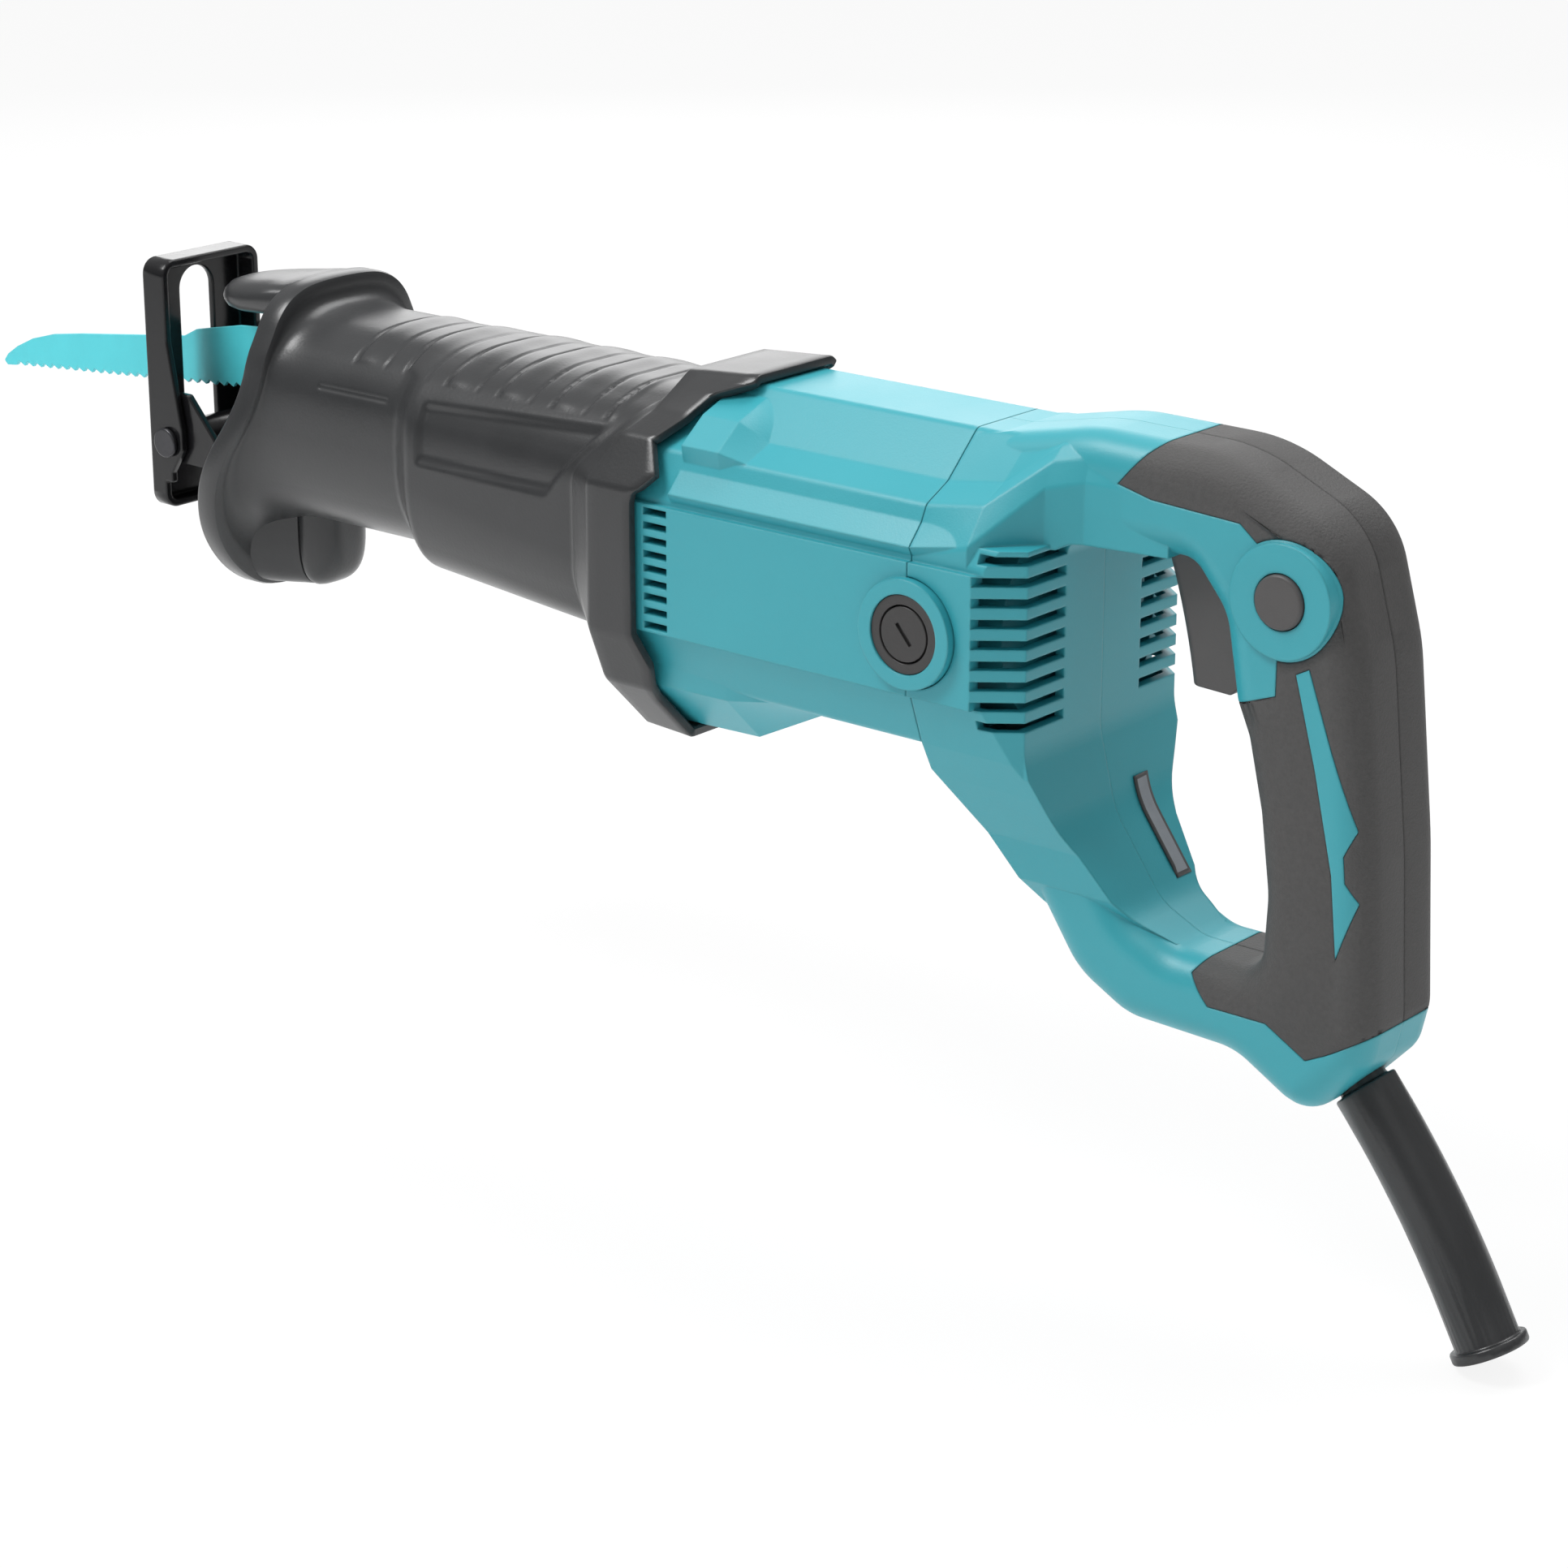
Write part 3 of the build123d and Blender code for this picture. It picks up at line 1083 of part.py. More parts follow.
clamp_floor_z = -117.0
clamp_x = 404.0
clamp_long = 8.0
screw_seat_y = 12.0
pin_half = trigger_half_width + 8.0
with BuildPart() as handle:
    add(loop_outer)
    add([cover_outer, root_outer, flare_outer, *brow_tails])
    cross_rod(lock_x, -lock_boss_y, lock_z, lock_boss_y, lock_boss_r)
    split(bisect_by=Plane.YZ.offset(seam_x + slide_gap), keep=Keep.TOP)
handle_outer = handle.part
rooms = [handle_loop(handle_wall), rear_cover(cover_wall), arm_root(cover_wall), strut_flare(cover_wall)]
with BuildPart() as skin:
    add(handle_outer)
    add(rooms, mode=Mode.SUBTRACT)
with BuildPart() as handle_shell:
    for x, z in handle_screw_spots:
        cross_rod(x, -far_side, z, 2 * far_side, handle_screw_boss_r)
    for side in (-1, 1):
        limits = sorted((side * (switch_half_width + seat_gap), side * handle_half_width))
        block(switch_x + 4, switch_x + switch_len - 4, *limits, switch_bottom_z + 6, switch_top_z - 6)
    block(clamp_x, clamp_x + clamp_long, -handle_half_width, handle_half_width, -far_side - 60, clamp_floor_z)
    cross_rod(trigger_pivot_x, -far_side, trigger_pivot_z, 2 * far_side, 2.4 * trigger_pin_r)
    add(handle_outer, mode=Mode.INTERSECT)
    add(skin.part)
    add(grip.part, mode=Mode.SUBTRACT)
    block(372, 412, -trigger_half_width - trigger_side_gap, trigger_half_width + trigger_side_gap,
          -33.5, trigger_pivot_z + 5.5, mode=Mode.SUBTRACT)
    cross_rod(trigger_pivot_x, -pin_half, trigger_pivot_z, 2 * pin_half, trigger_pin_r, mode=Mode.SUBTRACT)
    cross_rod(lock_x, -far_side, lock_z, far_side, lock_r + slide_gap, mode=Mode.SUBTRACT)
    for side in (-1, 1):
        start = 20 if side > 0 else -far_side
        cross_rod(brush_x, start, motor_z, far_side - 20, brush_boss_r + slide_gap, mode=Mode.SUBTRACT)
        with BuildSketch(Plane.XZ.offset(-side * rear_vent_end_y)) as rear_vents:
            with Locations((rear_face_x, rear_vent_top_z - (vent_count - 1) / 2 * rear_vent_pitch)):
                with GridLocations(1, rear_vent_pitch, 1, vent_count):
                    Rectangle(2 * (rear_face_x - rear_chamfer_x), rear_vent_high)
        extrude(rear_vents.sketch, amount=-side * far_side, mode=Mode.SUBTRACT)
    for x, z in handle_screw_spots:
        cross_rod(x, -screw_seat_y, z, 2 * screw_seat_y, handle_screw_r, mode=Mode.SUBTRACT)
        cross_rod(x, screw_seat_y, z, far_side, handle_screw_head_r + seat_gap, mode=Mode.SUBTRACT)
    extrude(guard_disc(-guard_inside, guard_groove_r + seat_gap), amount=2 * guard_inside, mode=Mode.SUBTRACT)
    extrude(guard_disc(-guard_inside - 3, guard_r + seat_gap), amount=guard_inside - 2, mode=Mode.SUBTRACT)
for name, solid in (("handle", handle_shell.part), ("grip", grip.part)):
    for hand, side in (("left", Keep.TOP), ("right", Keep.BOTTOM)):
        with BuildPart() as half:
            add(solid)
            split(bisect_by=Plane.XZ, keep=side)
        keep(half, f"{name}_{hand}")
with BuildPart() as handle_screws:
    for x, z in handle_screw_spots:
        cross_rod(x, -screw_seat_y, z, 2 * screw_seat_y, handle_screw_r - press_gap)
        cross_rod(x, screw_seat_y, z, 3, handle_screw_head_r)
keep(handle_screws, "handle_screws")

# Trigger on its cross pin, the switch behind it and the lock button in the left side
with BuildPart() as trigger:
    with BuildSketch(Plane.XZ.offset(trigger_half_width)):
        with BuildLine():
            finger = Spline((376, 7), (381.5, -9), (386.5, -31))
            Polyline(finger @ 1, (399, -31.5), (404, -27), (404, trigger_pivot_z + 4),
                     (trigger_pivot_x - 4, trigger_pivot_z + 4), finger @ 0)
        make_face()
    extrude(amount=-2 * trigger_half_width)
    fillet(trigger.edges().filter_by(GeomType.BSPLINE), 3)
    cross_rod(trigger_pivot_x, -trigger_half_width, trigger_pivot_z, 2 * trigger_half_width,
              trigger_pin_r + run_gap, mode=Mode.SUBTRACT)
keep(trigger, "trigger")
with BuildPart() as trigger_pin:
    cross_rod(trigger_pivot_x, -pin_half, trigger_pivot_z, 2 * pin_half, trigger_pin_r - press_gap)
keep(trigger_pin, "trigger_pin")
with BuildPart() as switch_body:
    block(switch_x, switch_x + switch_len, -switch_half_width, switch_half_width,
          switch_bottom_z, switch_top_z)
    block(switch_x - 5.5, switch_x, -4, 4, -26, -14)
keep(switch_body, "switch_body")
with BuildPart() as lock_button:
    cross_rod(lock_x, -lock_face_y, lock_z, lock_len, lock_r)
    fillet(lock_button.edges().filter_by(GeomType.CIRCLE).sort_by(Axis.Y)[0], 1)
    cross_rod(lock_x, lock_len - lock_face_y - 1, lock_z, 1, lock_r + 1)
keep(lock_button, "lock_button")

# Inside the lower arm: cord clamp with its two screws and the noise filter
clamp_bar_z = -112.5
clamp_screw_y = 8.0
with BuildPart() as cord_clamp:
    block(clamp_x, clamp_x + clamp_long, -11, 11, clamp_bar_z, clamp_bar_z + 3)
    for y in (-clamp_screw_y, clamp_screw_y):
        post(clamp_x + clamp_long / 2, y, clamp_bar_z, 3, 1.5, mode=Mode.SUBTRACT)
keep(cord_clamp, "cord_clamp")
with BuildPart() as clamp_screws:
    for y in (-clamp_screw_y, clamp_screw_y):
        post(clamp_x + clamp_long / 2, y, clamp_floor_z, clamp_bar_z + 3 - clamp_floor_z, 1.5 - press_gap)
        post(clamp_x + clamp_long / 2, y, clamp_bar_z + 3, 1.8, 2.8)
keep(clamp_screws, "cord_clamp_screws")
with BuildPart() as noise_filter:
    block(378, 397, -8, 8, -120, -108.5)
keep(noise_filter, "noise_filter")

# Cord guard: rubber sleeve held in the handle's lower corner, bent down, with a thick rim
guard_bend_r = guard_len / radians(guard_turn)


def guard_point(share):
    """Point of the guard's centre line at a share of its free length."""
    heading = guard_heading - share * radians(guard_turn)
    across = sin(guard_heading) - sin(heading)
    down = cos(heading) - cos(guard_heading)
    return guard_origin + Vector(across, 0, down) * guard_bend_r


with BuildLine() as guard_line:
    ThreePointArc(guard_point(0), guard_point(0.5), guard_point(1))
guard_end_way = Vector(cos(guard_heading - radians(guard_turn)), 0, sin(guard_heading - radians(guard_turn)))
guard_end = Plane(origin=guard_point(1), x_dir=(0, 1, 0), z_dir=guard_end_way)
with BuildPart() as cord_guard:
    sweep(guard_disc(0, guard_r), path=guard_line.line)
    with BuildSketch(guard_end) as tail:
        Circle(guard_r)
    extrude(tail.sketch, amount=guard_tail_len)
    with BuildSketch(guard_end.offset(guard_tail_len)) as rim:
        Circle(guard_rim_r)
    extrude(rim.sketch, amount=-guard_rim_len)
    extrude(guard_disc(-guard_inside, guard_groove_r), amount=guard_inside)
    extrude(guard_disc(-guard_inside, guard_r), amount=guard_inside - 5.3)
    sweep(guard_disc(0, guard_bore_r), path=guard_line.line, mode=Mode.SUBTRACT)
    extrude(guard_disc(-guard_inside, guard_bore_r), amount=guard_inside, mode=Mode.SUBTRACT)
    with BuildSketch(guard_end) as tail_bore:
        Circle(guard_bore_r)
    extrude(tail_bore.sketch, amount=guard_tail_len, mode=Mode.SUBTRACT)
keep(cord_guard, "cord_guard")

# Rating plate: bare plate on the strut's inner face
plate_thick = 0.4
plate_face = side_profile(-plate_thick)
plate_seat = side_profile(0)
with BuildPart() as rating_plate:
    block(345, 372, 5, 14, -91, -58)
    extrude(plate_face, amount=far_side, both=True, mode=Mode.INTERSECT)
    extrude(plate_seat, amount=far_side, both=True, mode=Mode.SUBTRACT)
keep(rating_plate, "rating_plate")
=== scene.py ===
import math

import bmesh
import bpy
import numpy as np
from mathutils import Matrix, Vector


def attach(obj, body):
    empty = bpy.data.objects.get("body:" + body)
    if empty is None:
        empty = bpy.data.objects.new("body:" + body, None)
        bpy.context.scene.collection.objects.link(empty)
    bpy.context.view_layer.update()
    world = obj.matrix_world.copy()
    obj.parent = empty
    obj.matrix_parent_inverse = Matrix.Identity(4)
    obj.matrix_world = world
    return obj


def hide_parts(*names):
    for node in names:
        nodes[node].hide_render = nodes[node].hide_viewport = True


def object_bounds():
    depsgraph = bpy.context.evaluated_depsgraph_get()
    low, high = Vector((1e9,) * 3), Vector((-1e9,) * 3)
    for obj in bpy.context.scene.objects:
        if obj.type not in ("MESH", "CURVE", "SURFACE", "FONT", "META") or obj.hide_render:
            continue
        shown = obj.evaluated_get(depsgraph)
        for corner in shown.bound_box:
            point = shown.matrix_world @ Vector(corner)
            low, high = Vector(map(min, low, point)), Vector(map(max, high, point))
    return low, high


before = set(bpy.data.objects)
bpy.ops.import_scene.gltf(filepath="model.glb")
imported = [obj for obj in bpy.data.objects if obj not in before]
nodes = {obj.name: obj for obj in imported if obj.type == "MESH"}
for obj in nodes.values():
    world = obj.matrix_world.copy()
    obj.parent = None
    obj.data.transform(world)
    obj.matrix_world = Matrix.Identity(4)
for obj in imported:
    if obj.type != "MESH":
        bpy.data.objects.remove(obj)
cad_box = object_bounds()
MM = 0.001


# Studio: a pale floor under the tool, four soft lamps and a white surround, with the camera on the
# tool's left, behind and above it, as in the photograph.
def lamp(name, place, width, power):
    """Square area lamp, aimed at the middle of the tool."""
    light = bpy.data.lights.new(name, "AREA")
    light.shape = "RECTANGLE"
    light.size = width
    light.size_y = width
    light.energy = power
    stand = bpy.data.objects.new(name, light)
    stand.location = place
    stand.rotation_euler = (tool_middle - Vector(place)).to_track_quat("-Z", "Y").to_euler()
    scene.collection.objects.link(stand)


scene = bpy.context.scene
scene.view_settings.view_transform = "Standard"
tool_middle = Vector((0.22, 0, -0.03))
lamp("key_lamp", (-0.3, -0.72, 1.28), 0.6, 18)
lamp("side_lamp", (1.2, -0.7, 0.6), 0.7, 0.5)
lamp("top_lamp", (0.3, 0.65, 1.2), 0.8, 11)
lamp("back_lamp", (-0.85, 1.25, 0.5), 0.9, 6)

camera = bpy.data.cameras.new("camera")
camera.sensor_width = 36.0
camera.lens = 93.17
camera.clip_start = 0.05
viewer = bpy.data.objects.new("camera", camera)
viewer.location = (0.94775, -0.84060, 0.28552)
turn = math.radians(40)
tilt = math.radians(19)
sight = Vector((-math.sin(turn) * math.cos(tilt), math.cos(turn) * math.cos(tilt), -math.sin(tilt)))
viewer.rotation_euler = sight.to_track_quat("-Z", "Y").to_euler()
scene.collection.objects.link(viewer)
scene.camera = viewer


class Wire:
    """A shader socket that takes part in sums and products."""

    def __init__(self, tree, socket):
        self.tree = tree
        self.socket = socket

    def math(self, operation, *terms):
        node = self.tree.nodes.new("ShaderNodeMath")
        node.operation = operation
        for term, plug in zip(terms, node.inputs):
            if isinstance(term, Wire):
                self.tree.links.new(term.socket, plug)
            else:
                plug.default_value = term
        return Wire(self.tree, node.outputs[0])

    def __add__(self, other):
        return self.math("ADD", self, other)

    def __sub__(self, other):
        return self.math("SUBTRACT", self, other)

    def __rsub__(self, other):
        return self.math("SUBTRACT", other, self)

    def __mul__(self, other):
        return self.math("MULTIPLY", self, other)

    __radd__ = __add__
    __rmul__ = __mul__


class Finish:
    """One material: its shader and the nodes that feed it."""

    def __init__(self, name, **constants):
        self.material = bpy.data.materials.new(name)
        self.material.use_nodes = True
        self.tree = self.material.node_tree
        self.shader = self.tree.nodes["Principled BSDF"]
        for socket, value in constants.items():
            self.shader.inputs[socket.replace("_", " ")].default_value = value

    def node(self, kind, settings=None, output=0, **values):
        """Shader node: a value's name is its input's name, or i and the input's number."""
        made = self.tree.nodes.new("ShaderNode" + kind)
        for name, value in (settings or {}).items():
            setattr(made, name, value)
        for name, value in values.items():
            key = int(name[1:]) if name[0] == "i" and name[1:].isdigit() else name.replace("_", " ")
            if isinstance(value, Wire):
                self.tree.links.new(value.socket, made.inputs[key])
            else:
                made.inputs[key].default_value = value
        return Wire(self.tree, made.outputs[output])

    def feed(self, socket, wire):
        self.tree.links.new(wire.socket, self.shader.inputs[socket])

    def noise(self, scale, detail=3.0, rough=0.5):
        place = self.node("TexCoord", output="Object")
        return self.node("TexNoise", Vector=place, Scale=scale, Detail=detail, Roughness=rough)

    def mix(self, factor, first, second):
        return self.node("Mix", {"data_type": "RGBA"}, output=2, i0=factor, i6=first, i7=second)

    def coat(self, dark, light, scale, gloss, grain, relief, edge=0.0, worn=None):
        """Mottled colour, uneven gloss and a fine grain, with soft edges that may be worn."""
        cloud = self.noise(scale, 5.0, 0.6)
        colour = self.mix(cloud, (*dark, 1), (*light, 1))
        soft = self.node("Bevel", Radius=edge * MM)
        if worn:
            turned = self.node("VectorMath", {"operation": "DOT_PRODUCT"}, output="Value", i0=soft,
                               i1=self.node("NewGeometry", output="Normal"))
            rubbed = turned.math("MINIMUM", (1.0 - turned) * cloud * 5.0, 1.0)
            colour = self.mix(rubbed, colour, (*worn, 1))
        self.feed("Base Color", colour)
        self.feed("Roughness", cloud * (gloss[1] - gloss[0]) + gloss[0])
        self.feed("Normal", self.node("Bump", Height=self.noise(grain), Strength=relief, Distance=0.3 * MM,
                                      Normal=soft))


world = bpy.data.worlds.new("surround")
scene.world = world
world.use_nodes = True
air = world.node_tree
seen = Wire(air, air.nodes.new("ShaderNodeLightPath").outputs["Is Camera Ray"])
heading = air.nodes.new("ShaderNodeSeparateXYZ")
air.links.new(air.nodes.new("ShaderNodeTexCoord").outputs["Generated"], heading.inputs[0])
sky = seen.math("MAXIMUM", Wire(air, heading.outputs["Z"]), 0.0) * 0.55 + 0.17
surround = air.nodes["Background"]
surround.inputs["Color"].default_value = (1, 1, 1, 1)
air.links.new((sky + seen * (1.0 - sky)).socket, surround.inputs["Strength"])

floor_gap = 0.5 * MM
floor_half = 6.0
floor_glow = 0.88
floor_finish = Finish("pale_floor", Roughness=0.9, Base_Color=(0.9, 0.9, 0.9, 1), Specular_IOR_Level=0.0)
rays = floor_finish.node("LightPath", output="Is Camera Ray")
glow = floor_finish.tree.nodes.new("ShaderNodeEmission")
blend = floor_finish.tree.nodes.new("ShaderNodeMixShader")
floor_finish.tree.links.new((rays * floor_glow).socket, blend.inputs[0])
floor_finish.tree.links.new(floor_finish.shader.outputs[0], blend.inputs[1])
floor_finish.tree.links.new(glow.outputs[0], blend.inputs[2])
floor_finish.tree.links.new(blend.outputs[0], floor_finish.tree.nodes["Material Output"].inputs["Surface"])
floor_mesh = bpy.data.meshes.new("floor")
floor_mesh.from_pydata([(x * floor_half, y * floor_half, cad_box[0][2] - floor_gap)
                        for x, y in ((-1, -1), (1, -1), (1, 1), (-1, 1))], [], [(0, 1, 2, 3)])
floor = bpy.data.objects.new("floor", floor_mesh)
floor_mesh.materials.append(floor_finish.material)
scene.collection.objects.link(floor)


# Saw blade: punched strip steel under a hard cyan paint, held in the clamp sleeve by its tang.
# The paint is thin on the edges of the teeth and the back.
def dress(names, finish, rounding=0.0):
    """Give CAD nodes a finish, and soft edges where a rounding is given."""
    for name in names:
        piece = nodes[name]
        piece.data.materials.clear()
        piece.data.materials.append(finish.material)
        if rounding:
            weld = piece.modifiers.new("weld", "WELD")
            weld.merge_threshold = 0.02 * MM
            flat = piece.modifiers.new("flat", "DECIMATE")
            flat.decimate_type = "DISSOLVE"
            flat.angle_limit = math.radians(1)
            edge = piece.modifiers.new("edge", "BEVEL")
            edge.width = rounding * MM
            edge.segments = 2
            edge.limit_method = "ANGLE"
            edge.angle_limit = math.radians(40)
            edge.use_clamp_overlap = False
            edge.harden_normals = True


blade_paint = Finish("blade_paint")
blade_paint.coat((0.06, 0.53, 0.60), (0.085, 0.64, 0.71), 60, (0.32, 0.46), 900, 0.15, 0.3,
                 (0.45, 0.62, 0.64))
dress(["saw_blade"], blade_paint, 0.15)

# Shoe: pressed steel plate and arm under glossy black paint, rubbed on the edges.
# The plate tilts on a darkened rivet, and the arm slides in and out of the gear housing.
shoe_paint = Finish("shoe_paint", Specular_IOR_Level=0.35)
shoe_paint.coat((0.005, 0.005, 0.006), (0.010, 0.010, 0.011), 140, (0.12, 0.26), 350, 0.08, 0.8,
                (0.06, 0.06, 0.06))
dress(["shoe_plate", "shoe_arm"], shoe_paint, 0.6)
rivet_steel = Finish("rivet_steel", Metallic=0.6)
rivet_steel.coat((0.03, 0.03, 0.034), (0.06, 0.06, 0.065), 300, (0.22, 0.38), 700, 0.1)
dress(["shoe_pivot_pin"], rivet_steel, 0.6)

# Motor housing and handle halves: moulded nylon with a fine spark-eroded skin.
# The housing is screwed to the gear case, and the handle halves are screwed together at the seam.
teal = Finish("teal_nylon")
teal.coat((0.031, 0.315, 0.375), (0.037, 0.345, 0.405), 30, (0.34, 0.46), 1800, 0.12, 0.9, (0.07, 0.42, 0.48))
dress(["motor_housing", "handle_left", "handle_right"], teal)

# Grip skins: soft rubber with a fine matte grain, moulded over the handle halves.
# Openings in the skin leave the lock's boss and a long spear of nylon bare.
grip_rubber = Finish("grip_rubber")
grip_rubber.coat((0.045, 0.044, 0.044), (0.085, 0.083, 0.082), 700, (0.55, 0.8), 1500, 0.7, 0.8)
dress(["grip_left", "grip_right"], grip_rubber, 0.5)

# Front boot: one thick rubber moulding stretched over the gear housing and its seam with the motor. It has a
# hand guard and a visor in front, scales on the top, a sunk panel on each side and a collar with a cut rim.
# Sections are (half width, height) of seven corners from the crown to the keel, in millimetres.
WALL = 2.9
BARREL_X = 84
BARREL = [(12, 22.2), (24, 16), (29.5, 9), (32, 1), (32, -20), (26, -34), (13, -42)]
BARREL_ROUND = 11.0
FLARE_X = 120
FLARE_STEPS = 12
BELLY_X = 132.5
BELLY = [(12, 22.0), (27, 17), (34, 10), (38, 1), (38, -25), (31, -41), (14, -47)]
BELLY_ROUND = 9.0
BELLY_STEPS = 120
BELLY_END = [(12, 21.5), (27, 17), (34.5, 10.5), (39, 1), (39, -30), (33, -45), (15, -53)]
FOOT_ROUND = 5.0
COLLAR_FOOT = [216, 212, 207.5, 197, 197, 197, 200]
COLLAR_CREST = [222.3, 220.5, 217.5, 211, 211, 212, 215]
COLLAR = [(16, 29), (28.5, 19.5), (38.5, 14.5), (46.4, 1), (46.4, -41.5), (41, -57), (27, -73)]
COLLAR_CLIMB = [(0.06, 0.02), (0.14, 0.11), (0.32, 0.31), (0.5, 0.5), (0.68, 0.69), (0.86, 0.89),
                (0.94, 0.98), (1, 1)]
RIM = [(16, 30.8), (28.5, 19.5), (38.5, 14.5), (46.4, 1), (46.4, -41.5), (41, -57), (27, -74)]
RIM_ROUND = 1.4
RIM_STEPS = 5
RIM_EDGE = [(-80, 233), (-61, 228), (-50, 230), (-39.5, 226), (-1, 226), (6, 233), (14, 228), (25, 236),
            (29, 247), (40, 247)]
SCALE_X = 99
SCALE_STEP = 20.8
SCALE_COUNT = 6
PANEL_FRONT = 136
PANEL_REAR = 188
PANEL_LOW = -7.5
PANEL_HIGH = 8.5
PANEL_DEEP = 1.5
PANEL_SOFT = 2.8
SIDE_Y = 20
GUARD = [(12, 32), (21, 29), (26.5, 24), (30, 17), (33, 11), (34.5, 2), (38.5, -14), (40, -28), (37.5, -42),
         (31, -54), (22, -63), (11, -68.5)]
GUARD_LEAN = [(-80, 34), (-46, 38), (-24, 44), (-4, 57), (14, 60), (40, 61)]
GUARD_PROFILE = [(4, 0), (1.6, 0), (0.5, 0.4), (0, 1.4), (0, 6.9), (0.4, 8), (1.5, 8.5)]
GUARD_HUB = -15.0
COVE_STEPS = 18
ROUND_STEPS = 13
EDGE_STEPS = 14


def ring(xs, half, cut):
    """Closed ring of points round a section: seven corners a side, each rounded by its cut."""
    right = [(x, y, z) for x, (y, z) in zip(xs, half)]
    corner = np.array(right + [(x, -y, z) for x, y, z in reversed(right)], float)
    before = np.roll(corner, 1, 0) - corner
    after = np.roll(corner, -1, 0) - corner
    reach_b = np.linalg.norm(before, axis=1)[:, None]
    reach_a = np.linalg.norm(after, axis=1)[:, None]
    start = corner + before / reach_b * np.minimum(cut, 0.45 * reach_b)
    end = corner + after / reach_a * np.minimum(cut, 0.45 * reach_a)
    points = []
    for j in range(len(corner)):
        for t in np.linspace(0, 1, ROUND_STEPS):
            points.append((1 - t) ** 2 * start[j] + 2 * t * (1 - t) * corner[j] + t * t * end[j])
        next_start = start[(j + 1) % len(corner)]
        for step in range(1, EDGE_STEPS + 1):
            points.append(end[j] + (next_start - end[j]) * step / (EDGE_STEPS + 1))
    return np.array(points)


def part_way(first, second, share):
    """Section some share of the way from one section to another."""
    return [(a[0] + (b[0] - a[0]) * share, a[1] + (b[1] - a[1]) * share) for a, b in zip(first, second)]


def inward(points):
    """Unit vectors across the boot's wall, towards its inside."""
    along = np.roll(points, -1, 0) - np.roll(points, 1, 0)
    across = np.stack([np.zeros(len(points)), -along[:, 2], along[:, 1]], 1)
    across /= np.linalg.norm(across, axis=1)[:, None] + 1e-9
    return across * np.sign(np.sum((points.mean(0) - points) * across, 1))[:, None]


def smooth(value):
    """Ease from 0 to 1."""
    value = np.clip(value, 0, 1)
    return value * value * (3 - 2 * value)


def between(value, low, high, soft):
    """1 inside a band and 0 outside it, with soft edges."""
    return smooth((value - low) / soft + 0.5) * smooth((high - value) / soft + 0.5)


def carve(points):
    """Sink the scales' grooves, the side panels and a short line before them into the outer skin."""
    x, y, z = points.T
    top = smooth((z - 13.5) / 2.0) * between(x, 88, 205, 4)
    side = np.abs(y) > SIDE_Y
    depth = np.zeros(len(points))
    for groove in range(SCALE_COUNT):
        first = SCALE_X + SCALE_STEP * groove
        depth += top * 0.9 * np.exp(-((x - first) / 0.7) ** 2)
        depth += top * 0.4 * np.exp(-((x - first - 12.4) / 0.6) ** 2)
        depth -= top * 0.5 * between(x, first, first + SCALE_STEP, 3) * np.exp(-((x - first - 3) / 5) ** 2)
    panel_top = PANEL_HIGH + (x - 134) * 0.05
    panel_end = PANEL_REAR + (z + 7) * 0.85
    depth += side * PANEL_DEEP * (between(z, PANEL_LOW, panel_top, PANEL_SOFT)
                                  * between(x, PANEL_FRONT, panel_end, PANEL_SOFT))
    depth += side * 0.5 * np.exp(-((z - 6) / 0.8) ** 2) * between(x, 88, 117, 2)
    return points + inward(points) * depth[:, None]


stations = [ring([x] * 7, BARREL, BARREL_ROUND) for x in np.arange(BARREL_X, FLARE_X + 0.3, 0.6)]
flare_row = len(stations)
belly_row = flare_row + FLARE_STEPS
for step in range(1, FLARE_STEPS + 1):
    share = smooth(step / FLARE_STEPS)
    x = FLARE_X + (BELLY_X - FLARE_X) * step / FLARE_STEPS
    stations.append(ring([x] * 7, part_way(BARREL, BELLY, share),
                         BARREL_ROUND + (BELLY_ROUND - BARREL_ROUND) * share))
for step in range(1, BELLY_STEPS + 1):
    share = step / BELLY_STEPS
    xs = [BELLY_X + (foot - BELLY_X) * share for foot in COLLAR_FOOT]
    stations.append(ring(xs, part_way(BELLY, BELLY_END, share),
                         BELLY_ROUND + (FOOT_ROUND - BELLY_ROUND) * share))
for climb, share in COLLAR_CLIMB:
    xs = [foot + (crest - foot) * climb for foot, crest in zip(COLLAR_FOOT, COLLAR_CREST)]
    stations.append(ring(xs, part_way(BELLY_END, COLLAR, share),
                         FOOT_ROUND + (RIM_ROUND - FOOT_ROUND) * share))
crest = stations[-1]
rim = ring([0] * 7, RIM, RIM_ROUND)
rim[:, 0] = np.interp(rim[:, 2], *zip(*RIM_EDGE))
for step in range(1, RIM_STEPS + 1):
    stations.append(crest + (rim - crest) * (step / RIM_STEPS) - np.array([0.8 * (step == RIM_STEPS), 0, 0]))
outer = [carve(points) for points in stations]

guard_right = np.array(GUARD, float)
guard_loop = np.concatenate([guard_right, (guard_right * (-1, 1))[::-1]])
fine = np.concatenate([np.linspace(a, b, 24, endpoint=False)
                       for a, b in zip(guard_loop, np.roll(guard_loop, -1, 0))])
blur = np.ones(25) / 25
fine = np.stack([np.convolve(np.concatenate([c[-12:], c, c[:12]]), blur, "valid") for c in fine.T], 1)
fine_angle = np.arctan2(fine[:, 1] - GUARD_HUB, fine[:, 0])
fine_reach = np.hypot(fine[:, 0], fine[:, 1] - GUARD_HUB)
barrel = outer[0]
angle = np.arctan2(barrel[:, 2] - GUARD_HUB, barrel[:, 1])
reach = np.interp(angle, *zip(*sorted(zip(fine_angle, fine_reach))), period=2 * math.pi)
level = np.linspace(-90, 50, 281)
